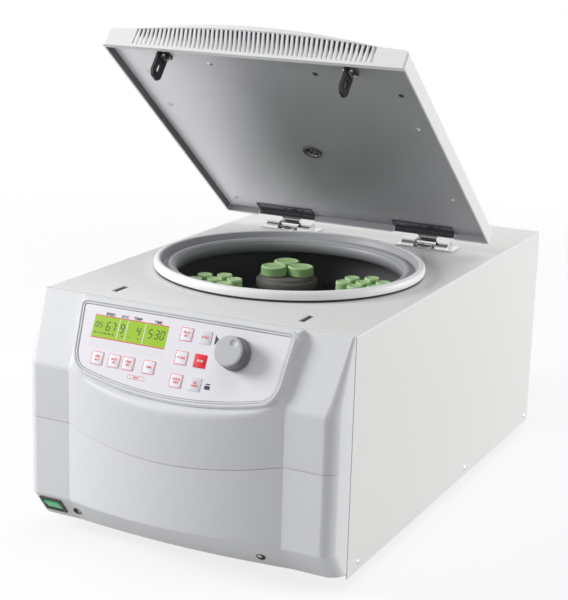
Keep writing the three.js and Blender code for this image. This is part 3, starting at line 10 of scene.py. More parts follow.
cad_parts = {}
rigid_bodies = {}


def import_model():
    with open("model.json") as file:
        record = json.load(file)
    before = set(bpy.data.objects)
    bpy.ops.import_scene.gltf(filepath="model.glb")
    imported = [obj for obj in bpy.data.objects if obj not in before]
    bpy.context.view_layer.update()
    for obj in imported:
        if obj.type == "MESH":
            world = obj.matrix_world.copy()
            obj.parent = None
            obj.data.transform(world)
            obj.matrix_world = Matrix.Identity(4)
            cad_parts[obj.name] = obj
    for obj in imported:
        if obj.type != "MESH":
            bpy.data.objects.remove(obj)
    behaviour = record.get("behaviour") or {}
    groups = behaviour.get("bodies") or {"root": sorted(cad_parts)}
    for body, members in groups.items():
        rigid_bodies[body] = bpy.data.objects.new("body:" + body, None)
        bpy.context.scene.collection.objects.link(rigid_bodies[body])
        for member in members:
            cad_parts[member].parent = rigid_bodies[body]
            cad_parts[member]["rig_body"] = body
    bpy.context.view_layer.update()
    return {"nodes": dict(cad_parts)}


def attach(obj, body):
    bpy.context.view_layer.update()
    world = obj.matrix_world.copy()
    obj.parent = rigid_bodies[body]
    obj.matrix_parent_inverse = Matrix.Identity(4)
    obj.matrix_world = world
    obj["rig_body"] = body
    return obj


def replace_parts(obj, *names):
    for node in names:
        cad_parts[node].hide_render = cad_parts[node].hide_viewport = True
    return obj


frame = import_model()


# Camera
# A long lens at bench height, in front of the machine and to its right. Its place was worked out from
# the corners of the case in the photograph.
CAMERA_PLACE, LENS, SENSOR = (0.90098, -1.88300, 0.81045), 93.287, 36
swing, climb, roll = (math.radians(v) for v in (26.297, 14.7305, 1.7039))
back = Vector((math.sin(swing) * math.cos(climb), -math.cos(swing) * math.cos(climb), math.sin(climb)))
level_right = Vector((math.cos(swing), math.sin(swing), 0))
level_up = back.cross(level_right)
right = level_right * math.cos(roll) + level_up * math.sin(roll)
up = level_up * math.cos(roll) - level_right * math.sin(roll)
camera = bpy.data.objects.new("camera", bpy.data.cameras.new("camera"))
camera.data.sensor_width, camera.data.lens = SENSOR, LENS
camera.matrix_world = Matrix.LocRotScale(
    Vector(CAMERA_PLACE), Matrix((right, up, back)).transposed(), None)
bpy.context.scene.collection.objects.link(camera)
bpy.context.scene.camera = camera


# Cover
# One sheet of steel bent over the machine, with the bowl's hole and two latch slots in its top. It
# is sprayed with warm white paint that dries to a faint orange peel.
class Wire:
    """A socket of a material's node tree. Sums and products on it add Math nodes."""

    def __init__(self, tree, socket=None):
        self.tree, self.socket = tree, socket

    def node(self, kind, settings=None, values=None, out=0):
        """Adds a node, sets it up, then fills or links its sockets, and gives one of its outputs."""
        made = self.tree.nodes.new("ShaderNode" + kind)
        for name, value in (settings or {}).items():
            setattr(made, name, value)
        for name, value in (values or {}).items():
            if isinstance(value, Wire):
                self.tree.links.new(value.socket, made.inputs[name])
            else:
                made.inputs[name].default_value = value
        return Wire(self.tree, made.outputs[out])

    def maths(self, operation, *values):
        """One Math node on these values or wires."""
        return self.node("Math", {"operation": operation}, dict(enumerate(values)))

    def __add__(self, other):
        return self.maths("ADD", self, other)

    def __sub__(self, other):
        return self.maths("SUBTRACT", self, other)

    def __rsub__(self, other):
        return self.maths("SUBTRACT", other, self)

    def __mul__(self, other):
        return self.maths("MULTIPLY", self, other)

    def __gt__(self, other):
        return self.maths("GREATER_THAN", self, other)

    def __lt__(self, other):
        return self.maths("LESS_THAN", self, other)

    __radd__, __rmul__ = __add__, __mul__

    def clipped(self):
        """The value kept between 0 and 1."""
        return self.node("Clamp", {}, {"Value": self})

    def mixed(self, first, second):
        """The first colour where this wire is 0 and the second where it is 1."""
        pair = [c if isinstance(c, Wire) else (*c, 1) for c in (first, second)]
        return self.node("Mix", {"data_type": "RGBA"}, {0: self, 6: pair[0], 7: pair[1]}, out=2)

    def part(self, number):
        """One part of a vector: 0, 1 or 2 for x, y or z."""
        return self.node("SeparateXYZ", {}, {"Vector": self}, out=number)

    def distance(self, point, kept=(1, 1, 1)):
        """How far a place lies from a point, measured only along the axes that are kept."""
        flat = self.node("VectorMath", {"operation": "MULTIPLY"}, {0: self, 1: kept})
        there = tuple(float(p) * k for p, k in zip(point, kept))
        return self.node("VectorMath", {"operation": "DISTANCE"}, {0: flat, 1: there}, out=1)

    def ends(self, kind):
        """Joins this shader to an output node."""
        output = self.tree.nodes.new("ShaderNodeOutput" + kind)
        self.tree.links.new(self.socket, output.inputs["Surface"])


def bare_tree(owner):
    """The emptied node tree of a material or a world, as a wire to build on."""
    owner.use_nodes = True
    owner.node_tree.nodes.clear()
    return Wire(owner.node_tree)


SLOW_SHARE, ROUGH_SPREAD, BUMP_STRENGTH, LACQUER_ROUGH = 0.7, 0.12, 0.6, 0.12


def surface(name, colour, rough, metal=0.0, drift=0.03, patch=6, grain=900, relief=0.02, stretch=None,
            lacquer=0.0, glow=0.0, pattern=None):
    """A finish whose tone drifts slowly over the piece. A fine grain varies its tone and roughness and
    raises it by `relief` millimetres; `stretch` draws the grain out, as brushing or turning does."""
    made = bpy.data.materials.new(name)
    wire = bare_tree(made)
    place = wire.node("TexCoord", out="Object")
    drawn = wire.node("Mapping", {}, {"Vector": place, "Scale": stretch}) if stretch else place
    slow = wire.node("TexNoise", {}, {"Vector": place, "Scale": patch, "Detail": 3})
    fine = wire.node("TexNoise", {}, {"Vector": drawn, "Scale": grain, "Detail": 4})
    low, high = ([min(1.0, c * k) for c in colour] for k in (1 - drift, 1 + drift))
    tint = (slow * SLOW_SHARE + fine * (1 - SLOW_SHARE)).mixed(low, high)
    roughness = (fine * ROUGH_SPREAD + (rough - ROUGH_SPREAD / 2)).clipped()
    height = fine
    if pattern:
        tint, roughness, height = pattern(wire, place, tint, roughness, height)
    bump = wire.node("Bump", {}, {"Strength": BUMP_STRENGTH, "Distance": relief / 1000, "Height": height})
    values = {"Base Color": tint, "Roughness": roughness, "Metallic": metal, "Normal": bump}
    if lacquer:
        values.update({"Coat Weight": lacquer, "Coat Roughness": LACQUER_ROUGH})
    if glow:
        values.update({"Emission Color": tint, "Emission Strength": glow})
    wire.node("BsdfPrincipled", {}, values).ends("Material")
    return made


def dress(finish, *nodes):
    """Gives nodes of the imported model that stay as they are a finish."""
    for node in nodes:
        for place in frame["nodes"][node].material_slots:
            place.material = finish


def mounted(mesh, name, body, finish, sharp=35):
    """A new piece from a mesh: smooth but for its sharp edges, finished, and riding on its body."""
    mesh.shade_smooth()
    mesh.set_sharp_from_angle(angle=math.radians(sharp))
    mesh.materials.clear()
    mesh.materials.append(finish)
    made = bpy.data.objects.new(name, mesh)
    bpy.context.scene.collection.objects.link(made)
    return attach(made, body)


def shaded_evenly(made):
    """Weights a piece's shading by the size of its faces, so that its flat faces look flat."""
    level = made.modifiers.new("even shading", "WEIGHTED_NORMAL")
    level.keep_sharp = True


MERGE_WITHIN, FLAT_WITHIN, EASED_OVER = 2e-6, 0.004, math.radians(50)


def softened(node, finish, bevel=0.0, steps=2):
    """A node's own surface as one smooth mesh: its loose triangles are merged, flat faces are made
    one, and edges sharper than 50 degrees are eased by `bevel` millimetres. It stands for the node."""
    source = frame["nodes"][node]
    mesh = source.data.copy()
    work = bmesh.new()
    work.from_mesh(mesh)
    bmesh.ops.remove_doubles(work, verts=work.verts, dist=MERGE_WITHIN)
    bmesh.ops.dissolve_limit(work, angle_limit=FLAT_WITHIN, verts=work.verts, edges=work.edges)
    work.to_mesh(mesh)
    work.free()
    made = mounted(mesh, node + "_finished", source["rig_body"], finish)
    if bevel:
        ease = made.modifiers.new("eased edges", "BEVEL")
        ease.width, ease.segments = bevel / 1000, steps
        ease.limit_method, ease.angle_limit = "ANGLE", EASED_OVER
        ease.use_clamp_overlap = True
    shaded_evenly(made)
    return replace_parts(made, node)


cover_paint = surface("cover_paint", (0.79, 0.785, 0.775), 0.42, drift=0.012, patch=4, grain=650,
                      relief=0.035)
softened("cover", cover_paint, bevel=0.5)


# Rear panel and mains inlet
# A flat painted plate closes the back, slotted in front of the cooler and pierced for the mains
# inlet, a black moulded socket with three flat pins.
softened("rear_panel", cover_paint, bevel=0.3)
black_moulding = surface("black_moulding", (0.018, 0.018, 0.02), 0.5, drift=0.25, grain=1400, relief=0.03)
softened("mains_inlet", black_moulding, bevel=0.6)

MIDDLE, STANDING = 302.0, 13.0


def placed(points):
    """Millimetres in the case's own frame (x across, y back from the cover's front edge, z up from
    its lower edge) to metres in the row frame."""
    return (np.asarray(points, float) + (0, -MIDDLE, STANDING)) / 1000


def grid_mesh(name, grid, closed_across=False, caps=False):
    """A surface through a grid of points: faces join neighbours, the last column joins the first
    where it is closed across, and caps fill the first and last rows. Doubles are merged and the
    faces are turned outwards."""
    rows, columns = grid.shape[:2]
    number = np.arange(rows * columns).reshape(rows, columns)
    along = np.concatenate([number, number[:, :1]], 1) if closed_across else number
    faces = np.stack([along[:-1, :-1], along[:-1, 1:], along[1:, 1:], along[1:, :-1]], -1)
    faces = faces.reshape(-1, 4).tolist()
    if caps:
        faces += [number[0].tolist(), number[-1].tolist()]
    mesh = bpy.data.meshes.new(name)
    mesh.from_pydata(grid.reshape(-1, 3).tolist(), [], faces)
    work = bmesh.new()
    work.from_mesh(mesh)
    bmesh.ops.remove_doubles(work, verts=work.verts, dist=1e-6)
    bmesh.ops.dissolve_degenerate(work, dist=1e-7, edges=work.edges)
    bmesh.ops.recalc_face_normals(work, faces=work.faces)
    work.to_mesh(mesh)
    work.free()
    return mesh


def turned(profile, steps=96):
    """A turned surface about Z: each point (radius, height) of the profile goes once round in equal
    steps, giving (radius cos, radius sin, height)."""
    profile = np.asarray(profile, float)
    turn = np.linspace(0, 2 * math.pi, steps, endpoint=False)
    radius, height = profile[:, :1], profile[:, 1:]
    return np.stack([radius * np.cos(turn), radius * np.sin(turn), height + 0 * turn], -1)


def moved(points, across, along, out, origin):
    """Points in a plane's own frame carried to the case: across, along and out are its axes."""
    return np.asarray(origin, float) + points @ np.array([across, along, out], float)


def block(low, high, ease=0.0):
    """The grid of a box between two corners as a run of rounded rectangles: eight corner points at
    each level, pulled in by the ease at the first and last."""
    (x0, y0, z0), (x1, y1, z1) = low, high
    levels = [(z0, ease), (z0 + ease, 0), (z1 - ease, 0), (z1, ease)]
    rows = [[(x0 + e, y0 + ease + e, z), (x0 + ease + e, y0 + e, z), (x1 - ease - e, y0 + e, z),
             (x1 - e, y0 + ease + e, z), (x1 - e, y1 - ease - e, z), (x1 - ease - e, y1 - e, z),
             (x0 + ease + e, y1 - e, z), (x0 + e, y1 - ease - e, z)] for z, e in levels]
    return np.array(rows, float)


def joined(name, parts, body, finish, sharp=35):
    """Several closed grids in the case frame as one piece."""
    whole = bmesh.new()
    for grid in parts:
        part = grid_mesh(name + "_part", placed(grid), closed_across=True, caps=True)
        whole.from_mesh(part)
        bpy.data.meshes.remove(part)
    mesh = bpy.data.meshes.new(name)
    whole.to_mesh(mesh)
    whole.free()
    return mounted(mesh, name, body, finish, sharp)


plated = surface("nickel_plate", (0.62, 0.61, 0.59), 0.25, metal=1.0, drift=0.05, grain=1200, relief=0.01)
INLET_X, INLET_Z, PIN_ROOT, PIN_TIP, PIN_WIDE, PIN_HIGH = -150.0, 60.0, 664.0, 678.0, 4.0, 2.0
pins = [block((INLET_X + x - PIN_WIDE / 2, PIN_ROOT, INLET_Z + z - PIN_HIGH / 2),
              (INLET_X + x + PIN_WIDE / 2, PIN_TIP, INLET_Z + z + PIN_HIGH / 2), ease=0.3)
        for x, z in ((-7, -2), (0, 3), (7, -2))]
joined("mains_inlet_pins", pins, "case", plated)


DOME_SECTION = ((0.22, 0.30), (0.24, 0.50), (0.6, 0.42), (0.85, 0.26), (1, 0.08), (1, -0.2))


def dome_screws(name, heads, body, finish):
    """Round screw heads as one piece. A head's height falls from its middle as the square of the
    distance, then drops to the sheet; each is (centre, outward axis, radius) in the case frame."""
    parts = []
    for centre, outward, radius in heads:
        out = Vector(outward).normalized()
        across = out.orthogonal().normalized()
        profile = radius * np.array(DOME_SECTION)
        parts.append(moved(turned(profile, steps=16), across, out.cross(across), out, centre))
    return joined(name, parts, body, finish)


screw_finish = surface("screw_zinc", (0.66, 0.66, 0.65), 0.32, metal=0.9, drift=0.06, grain=1500,
                       relief=0.01)
REAR_FACE, REAR_SCREW_X, REAR_SCREW_RADIUS = 682.6, 200, 3.6
rear_spots = [(x, z) for x in (-REAR_SCREW_X, 0, REAR_SCREW_X) for z in (12, 290)]
rear_spots += [(-REAR_SCREW_X, 150), (REAR_SCREW_X, 150)]
rear_heads = [((x, REAR_FACE, z), (0, 1, 0), REAR_SCREW_RADIUS) for x, z in rear_spots]
INLET_FACE, INLET_SCREW_X, INLET_SCREW_RADIUS = 685.0, 27.5, 1.9
rear_heads += [((INLET_X + side * INLET_SCREW_X, INLET_FACE, INLET_Z), (0, 1, 0), INLET_SCREW_RADIUS)
               for side in (-1, 1)]
dome_screws("rear_screws", rear_heads, "case", screw_finish)


# Base pan and feet
# The machine stands on a shallow tray of zinc plated steel. Four turned rubber feet are screwed to
# its underside.
zinc_sheet = surface("zinc_sheet", (0.48, 0.49, 0.5), 0.42, metal=0.85, drift=0.12, patch=30, grain=500,
                     relief=0.01)
softened("base_pan", zinc_sheet, bevel=0.4)
foot_rubber = surface("foot_rubber", (0.022, 0.022, 0.023), 0.75, drift=0.3, grain=1800, relief=0.05)
FOOT_X, FOOT_FRONT, FOOT_BACK = 153.0, 70.0, 615.0
foot_profile = [(0, 2.6), (17.6, 2.6), (18, 1.8), (17.4, -3), (16.6, -8), (15.6, -11.6), (14, -13),
                (7.5, -13), (7, -12.2), (5.5, -9.5), (0, -9.5)]
for place, x, y in (("front_left", -FOOT_X, FOOT_FRONT), ("front_right", FOOT_X, FOOT_FRONT),
                    ("rear_left", -FOOT_X, FOOT_BACK), ("rear_right", FOOT_X, FOOT_BACK)):
    shape = placed(turned(foot_profile, steps=48) + (x, y, 0))
    name = "rubber_foot_" + place
    foot = mounted(grid_mesh(name, shape, closed_across=True), name, "case", foot_rubber)
    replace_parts(foot, "foot_" + place)


# Front mouldings
# Two matt light grey mouldings meet in a fine seam. A pillar stands at each side with a sloping facet
# on top, and a belly bows out between them under the console.
CASE_HALF, CASE_TOP, FACET_Z = 215.0, 304.0, 217.0
PILLAR_REACH, PILLAR_TOP_REACH, TOP_REACH, MOULDING_GAP, MOULDING_WALL = 50.0, 6.0, 14.0, 2.2, 3.2
CORNER_TOP, CORNER_GAIN, CORNER_CUT, CORNER_STEPS = 3.0, 13.0, 0.3, 9
BELLY_HALF, BELLY_BOW, BELLY_BASE_BOW, BELLY_STEPS, CREASE = 150.0, 31.0, 10.0, 72, 0.2
SEAM_Z, SEAM_SAG, SEAM_HALF, LEDGE_SAG = 147.0, 14.0, 0.3, 13.0
CHAMFER_TOP, CHAMFER_BOTTOM, CHAMFER_REACH, CHAMFER_BOW = 44.0, 8.0, 23.0, 6.0
LEAN, PANEL_REACH, PANEL_TOP, PANEL_FLOOR, PLATE_TOP = math.radians(25.5), 22.0, 298.0, -2.1, -5.0
ACROSS = np.linspace(-1, 1, BELLY_STEPS)
BOW = 1 - ACROSS ** 2


def panel_reach(down, level):
    """How far forward a point lies that is `down` the leaning panel and `level` above its face."""
    return PANEL_REACH + down * math.sin(LEAN) + level * math.cos(LEAN)


def panel_height(down, level):
    """How high that point lies."""
    return PANEL_TOP - down * math.cos(LEAN) + level * math.sin(LEAN)


def front_row(height, belly_reach, belly_height, half=BELLY_HALF, flush=False):
    """One row of the front, from its left rear edge to its right: the side, an outer corner between
    a round and a flat cut, the pillar, and the belly at equal steps across. The pillar's facet sets
    its reach and its corner. A flush row lies behind the mouldings, all in one plane."""
    share = min((CASE_TOP - height) / (CASE_TOP - FACET_Z), 1)
    reach = PILLAR_TOP_REACH + (PILLAR_REACH - PILLAR_TOP_REACH) * share
    corner = CORNER_TOP + CORNER_GAIN * share ** 2
    if height < CHAMFER_TOP:
        sunk = (CHAMFER_TOP - height) / (CHAMFER_TOP - CHAMFER_BOTTOM)
        reach = PILLAR_REACH - (PILLAR_REACH - CHAMFER_REACH) * sunk
    turn = np.linspace(math.pi / 2, 0, CORNER_STEPS)
    flat = np.linspace(0, 1, CORNER_STEPS)
    corner_x = CASE_HALF - corner * (1 - (1 - CORNER_CUT) * np.sin(turn) - CORNER_CUT * (1 - flat))
    corner_reach = reach - corner * (1 - (1 - CORNER_CUT) * np.cos(turn) - CORNER_CUT * flat)
    side = np.stack([np.r_[CASE_HALF, corner_x, BELLY_HALF + CREASE],
                     np.r_[MOULDING_GAP, corner_reach, reach], np.full(CORNER_STEPS + 2, height)], -1)
    belly = np.stack([ACROSS * (half - CREASE), belly_reach + 0 * BOW, belly_height + 0 * BOW], -1)
    row = np.concatenate([side * (-1, 1, 1), belly, side[::-1]])
    if flush:
        row[:, 1] = MOULDING_GAP
    return row * (1, -1, 1)


def eased(grid, spots, steps=5):
    """Rounds a grid's rows at given places: there it follows the parabola that leaves the line from
    the row before at a given distance and joins the line to the next row at the same distance."""
    t = np.linspace(0, 1, steps)[:, None, None]
    runs = []
    for k, here in enumerate(grid):
        reach = spots.get(k)
        if reach is None:
            runs.append(here[None])
            continue
        ends = []
        for other in (grid[k - 1], grid[k + 1]):
            away = other - here
            length = np.maximum(np.linalg.norm(away, axis=-1, keepdims=True), 1e-6)
            ends.append(here + away / length *
                        np.minimum(np.asarray(reach).reshape(-1, 1), 0.48 * length))
        runs.append((1 - t) ** 2 * ends[0] + 2 * t * (1 - t) * here + t ** 2 * ends[1])
    return np.concatenate(runs)


CREASE_EASE, CREASE_STEPS = 1.2, 4


def front_moulding(name, rows, spots, node, finish):
    """A moulding from its rows: creases are eased, then the skin gets its wall."""
    grid = eased(np.array(rows), spots)
    columns = grid.transpose(1, 0, 2)
    first = CORNER_STEPS + 1
    last = len(columns) - 1 - first
    creases = (first, first + 1, last - 1, last)
    columns = eased(columns, dict.fromkeys(creases, CREASE_EASE), CREASE_STEPS)
    mesh = grid_mesh(name, placed(columns.transpose(1, 0, 2)))
    made = mounted(mesh, name, "case", finish, sharp=60)
    wall = made.modifiers.new("wall", "SOLIDIFY")
    wall.thickness, wall.offset = MOULDING_WALL / 1000, -1
    shaded_evenly(made)
    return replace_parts(made, node)


FILM_HALF, FILM_CORNER_X, FILM_CORNER, FILM_SAG = 142.0, 123.0, 79.4, 15.4
FOOT_HALF, FOOT_MARGIN, FOOT_RISE = BELLY_HALF - 9.0, 8.0, 16.0


def foot_down(bow):
    """How far down the panel's plane the console's foot lies: the film's sagging base plus a margin,
    drawn up near each side by the square of the distance past the film's corner."""
    past = np.clip((FOOT_HALF * np.sqrt(1 - bow) - FILM_CORNER_X) / (FOOT_HALF - FILM_CORNER_X), 0, 1)
    return FILM_CORNER + FILM_SAG * bow + FOOT_MARGIN - FOOT_RISE * past ** 2


def leaning_row(down, half=BELLY_HALF):
    """A row of the front whose belly lies on the floor of the panel's recess."""
    return front_row(panel_height(down, PANEL_FLOOR)[0], panel_reach(down, PANEL_FLOOR),
                     panel_height(down, PANEL_FLOOR), half)


moulding_grey = surface("moulding_grey", (0.735, 0.745, 0.766), 0.5, drift=0.012, patch=5, grain=1500,
                        relief=0.03)
front_reach, seam = PILLAR_REACH + BELLY_BOW * BOW, SEAM_Z - SEAM_SAG * BOW
upper = [
    front_row(CASE_TOP, MOULDING_GAP, CASE_TOP, flush=True),
    front_row(CASE_TOP, TOP_REACH, CASE_TOP),
    leaning_row(PLATE_TOP + 0 * BOW),
    leaning_row(foot_down(BOW), FOOT_HALF),
    front_row(FACET_Z, front_reach, FACET_Z - LEDGE_SAG * BOW),
    front_row(SEAM_Z + SEAM_HALF, front_reach, seam + SEAM_HALF),
]
ledge_ease = np.interp(np.abs(upper[4][:, 0]), [0, 40, 80, 120, BELLY_HALF], [12.5, 11.8, 9.6, 6.2, 4.4])
front_moulding("front_moulding_upper", upper, {1: 1.0, 4: ledge_ease}, "front_upper_shell", moulding_grey)
lower = [
    front_row(SEAM_Z - SEAM_HALF, front_reach, seam - SEAM_HALF),
    front_row(CHAMFER_TOP, front_reach, CHAMFER_TOP + CHAMFER_BOW * BOW),
    front_row(CHAMFER_BOTTOM, CHAMFER_REACH + BELLY_BASE_BOW * BOW, CHAMFER_BOTTOM),
    front_row(CHAMFER_BOTTOM, MOULDING_GAP, CHAMFER_BOTTOM, flush=True),
]
front_moulding("front_moulding_lower", lower, {1: 2.5, 2: 1.5}, "front_lower_shell", moulding_grey)
# Black strips close the gaps at the sides of the mouldings; their black is painted shade for the dark
# gap.
SEAL_X, SEAL_HALF, SEAL_FOOT, SEAL_SHORT, SKIN = 213.2, 0.9, 10.0, 3.5, 0.1
gap_shade_seals = [block((side * SEAL_X - SEAL_HALF, SKIN - MOULDING_GAP, SEAL_FOOT),
               (side * SEAL_X + SEAL_HALF, -SKIN, CASE_TOP - SEAL_SHORT), ease=0.2) for side in (-1, 1)]
joined("side_gap_shade_seals", gap_shade_seals, "case", black_moulding)
STRIP_HALF, STRIP_LOW, STRIP_HIGH = 212.0, 1.8, 0.6
top_strip = block((-STRIP_HALF, SKIN - MOULDING_GAP, CASE_TOP - STRIP_LOW),
                  (STRIP_HALF, -SKIN, CASE_TOP - STRIP_HIGH), ease=0.1)
joined("top_strip", [top_strip], "case", moulding_grey)


# Console: rim and printed film
# A white printed film is stuck to the leaning plate and lies in a raised rim that is part of the
# upper moulding. A fine dark groove runs between the two.
FILM_TAPER, FILM_SIDE, FILM_EDGE, FILM_TOP_CORNER, FILM_THICK = 5.0, 58.0, 1.2, 3.0, 1.7


def parabola(start, pull, end, steps):
    """Points from start towards end on the quadratic curve pulled towards a third point."""
    t = np.linspace(0, 1, steps, endpoint=False)[:, None]
    return (1 - t) ** 2 * np.array(start) + 2 * t * (1 - t) * np.array(pull) + t ** 2 * np.array(end)


def film_outline():
    """The film's edge in its own plane, x across and y up, clockwise from the top left: straight top
    and sides leaning in, round lower corners and a sagging base."""
    half, side, top, low = FILM_HALF, FILM_HALF - FILM_TAPER, -FILM_EDGE, -FILM_CORNER
    top_corner = parabola((half - FILM_TOP_CORNER, top), (half, top), (half, top - FILM_TOP_CORNER),
                          steps=6)
    right = parabola((half, top - FILM_TOP_CORNER), ((half + side) / 2, -FILM_SIDE / 2),
                     (side, -FILM_SIDE), steps=8)
    corner = parabola((side, -FILM_SIDE), (side - FILM_TAPER / 2, FILM_TAPER + low),
                      (FILM_CORNER_X, low), steps=14)
    base = parabola((FILM_CORNER_X, low), (0, low - 2 * FILM_SAG), (-FILM_CORNER_X, low), steps=60)
    left = [run[::-1] * (-1, 1) for run in (corner, right, top_corner)]
    return np.concatenate([top_corner, right, corner, base, *left])


def carried(path, profile):
    """Carries a profile round a closed flat path. Each profile point (offset, level) lies off the path
    along its outward normal, found from the neighbours on each side, and above its plane."""
    ahead, behind = np.roll(path, -1, 0), np.roll(path, 1, 0)
    along = ahead - behind
    along /= np.linalg.norm(along, axis=1, keepdims=True)
    outward = np.stack([-along[:, 1], along[:, 0]], -1)
    offset, level = np.asarray(profile, float).T
    flat = path[None] + offset[:, None, None] * outward[None]
    return np.concatenate([flat, np.broadcast_to(level[:, None, None], (*flat.shape[:2], 1))], -1)


SLOPE = (0, math.sin(LEAN), math.cos(LEAN))
OUT = (0, -math.cos(LEAN), math.sin(LEAN))
PANEL_ORIGIN = (0, -PANEL_REACH, PANEL_TOP)


def on_panel(points):
    """From the panel's own frame (x across, y up the slope, z out of its face) to the case."""
    return moved(np.asarray(points, float), (1, 0, 0), SLOPE, OUT, PANEL_ORIGIN)


outline = film_outline()
rim_profile = [(0.3, -1.9), (0.55, -1.9), (0.7, 0.3), (1.0, 0.9), (1.5, 1.1), (2.6, 1.1), (2.9, 0.8),
               (3.0, -0.5), (3.35, -0.5), (3.5, 1.1), (3.9, 1.7), (4.8, 1.9), (5.9, 1.7), (7.0, 1.0),
               (7.9, -0.4), (8.6, -2.4), (9.1, -5.5), (9.7, -9), (10.4, -13), (11.6, -17), (13, -21)]
rim = on_panel(carried(outline, rim_profile))
RIM_UNDER_TOP = 0.05
rim[..., 2] = np.minimum(rim[..., 2], CASE_TOP - RIM_UNDER_TOP)
rim_mesh = grid_mesh("console_rim", placed(rim), closed_across=True)
mounted(rim_mesh, "console_rim", "case", moulding_grey, sharp=60)


BAND_X, BAND_Z, BAND_SHARE = (-0.1245, -0.0195), (0.2638, 0.2716), 0.5


def print_tone(wire, place, tint, roughness, height):
    """A slightly greyer printed band under the display, between two heights and two sides."""
    x, z = place.part(0), place.part(2)
    band = (z > BAND_Z[0]) * (z < BAND_Z[1]) * (x > BAND_X[0]) * (x < BAND_X[1])
    return (band * BAND_SHARE).mixed(tint, (0.80, 0.79, 0.83)), roughness, height


film_white = surface("film_white", (0.86, 0.845, 0.90), 0.32, drift=0.008, grain=2200, relief=0.008,
                     pattern=print_tone)


def plate(name, edge, low, high, body, finish, ease=0.0):
    """A flat plate on the panel from its edge line: the edge at the lower level, at the upper level
    less an ease, and pulled in by the ease at the top, with caps over both ends."""
    inward = edge.mean(0) - edge
    inward /= np.linalg.norm(inward, axis=1, keepdims=True)
    rings = [(0, low), (0, high)]
    if ease:
        rings = [(0, low), (0, high - ease), (0.35 * ease, high - 0.3 * ease), (ease, high)]
    grid = np.array([np.c_[edge + inward * shift, np.full(len(edge), level)] for shift, level in rings])
    mesh = grid_mesh(name, placed(on_panel(grid)), closed_across=True, caps=True)
    return mounted(mesh, name, body, finish)


film = plate("console_film", outline, -FILM_THICK, 0.0, "case", film_white)
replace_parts(film, "keypad_panel")


# Display
# A backlit liquid crystal display behind a flush window: dark figures on bright green, pale bars
# between its four fields and a fine red line along each long edge.
PANEL_DROP, CELL, CELL_LINE, CELL_SHARE = 85.5, 0.0013, 0.00012, 0.35
DISPLAY_X, DISPLAY_DOWN = -0.5063 * FILM_HALF, 0.311 * PANEL_DROP
DISPLAY_WIDE, DISPLAY_HIGH = 0.738 * FILM_HALF, 0.312 * PANEL_DROP
WINDOW_CORNER, WINDOW_FOOT, WINDOW_TOP = 1.2, -1.8, 0.12


def round_corners(wide, high, corner, x=0.0, y=0.0, steps=5):
    """The edge of a rectangle about a point, each corner a quarter circle."""
    turn = np.linspace(0, math.pi / 2, steps)
    runs = []
    for quarter, (sx, sy) in enumerate(((1, 1), (-1, 1), (-1, -1), (1, -1))):
        angle = turn + quarter * math.pi / 2
        runs.append(np.stack([x + sx * (wide / 2 - corner) + corner * np.cos(angle),
                              y + sy * (high / 2 - corner) + corner * np.sin(angle)], -1))
    return np.concatenate(runs)


def cell_grid(wire, place, tint, roughness, height):
    """The faint unlit cells of the display, a fine lattice across and up its face."""
    upright = wire.node("Mapping", {}, {"Vector": place, "Rotation": (math.pi / 2 - LEAN, 0, 0)})
    cells = wire.node("TexBrick", {"offset": 0.0},
                      {"Vector": upright, "Scale": 1.0, "Mortar Size": CELL_LINE,
                       "Brick Width": CELL, "Row Height": CELL}, out=1)
    return (cells * CELL_SHARE).mixed(tint, (0.23, 0.46, 0.01)), roughness, height


display_green = surface("display_green", (0.36, 0.60, 0.012), 0.3, drift=0.05, patch=25, grain=1500,
                        relief=0.004, glow=0.02, pattern=cell_grid)
window_edge = round_corners(DISPLAY_WIDE, DISPLAY_HIGH, WINDOW_CORNER, DISPLAY_X, -DISPLAY_DOWN)
window = plate("display_screen", window_edge, WINDOW_FOOT, WINDOW_TOP, "case", display_green)
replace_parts(window, "display_window")


def flat_strips(name, quads, level, body, finish, thick=0.06):
    """Thin printed shapes on the panel: each is a flat polygon at a level, as a closed low slab."""
    parts = []
    for quad in quads:
        quad = np.asarray(quad, float)
        parts.append(on_panel(np.array([np.c_[quad, np.full(len(quad), z)]
                                        for z in (level - thick, level)])))
    return joined(name, parts, body, finish)


def bar_quad(x, y, wide, high, skew=0.0):
    """A bar about a point, its upper edge pushed sideways by the skew."""
    return [(x - wide / 2 - skew / 2, y - high / 2), (x + wide / 2 - skew / 2, y - high / 2),
            (x + wide / 2 + skew / 2, y + high / 2), (x - wide / 2 + skew / 2, y + high / 2)]


def figure(digit, x, y, wide, high, pen):
    """The bars of a seven-bar figure, leaning a little to the right as such displays draw them."""
    lit = {"0": "abcdef", "1": "bc", "2": "abged", "3": "abgcd", "4": "fgbc", "5": "afgcd", "6": "afgedc",
           "7": "abc", "8": "abcdefg", "9": "abcdfg"}[digit]
    tilt = 0.12 * high
    bars = {"a": (0, high / 2, 1), "g": (0, 0, 1), "d": (0, -high / 2, 1), "f": (-wide / 2, high / 4, 0),
            "b": (wide / 2, high / 4, 0), "e": (-wide / 2, -high / 4, 0), "c": (wide / 2, -high / 4, 0)}
    quads = []
    for key in lit:
        dx, dy, flat = bars[key]
        slide = tilt * dy / high
        if flat:
            quads.append(bar_quad(x + dx + slide, y + dy, wide - pen, pen))
        else:
            quads.append(bar_quad(x + dx + slide, y + dy, pen, high / 2 - pen * 0.6, tilt / 2))
    return quads


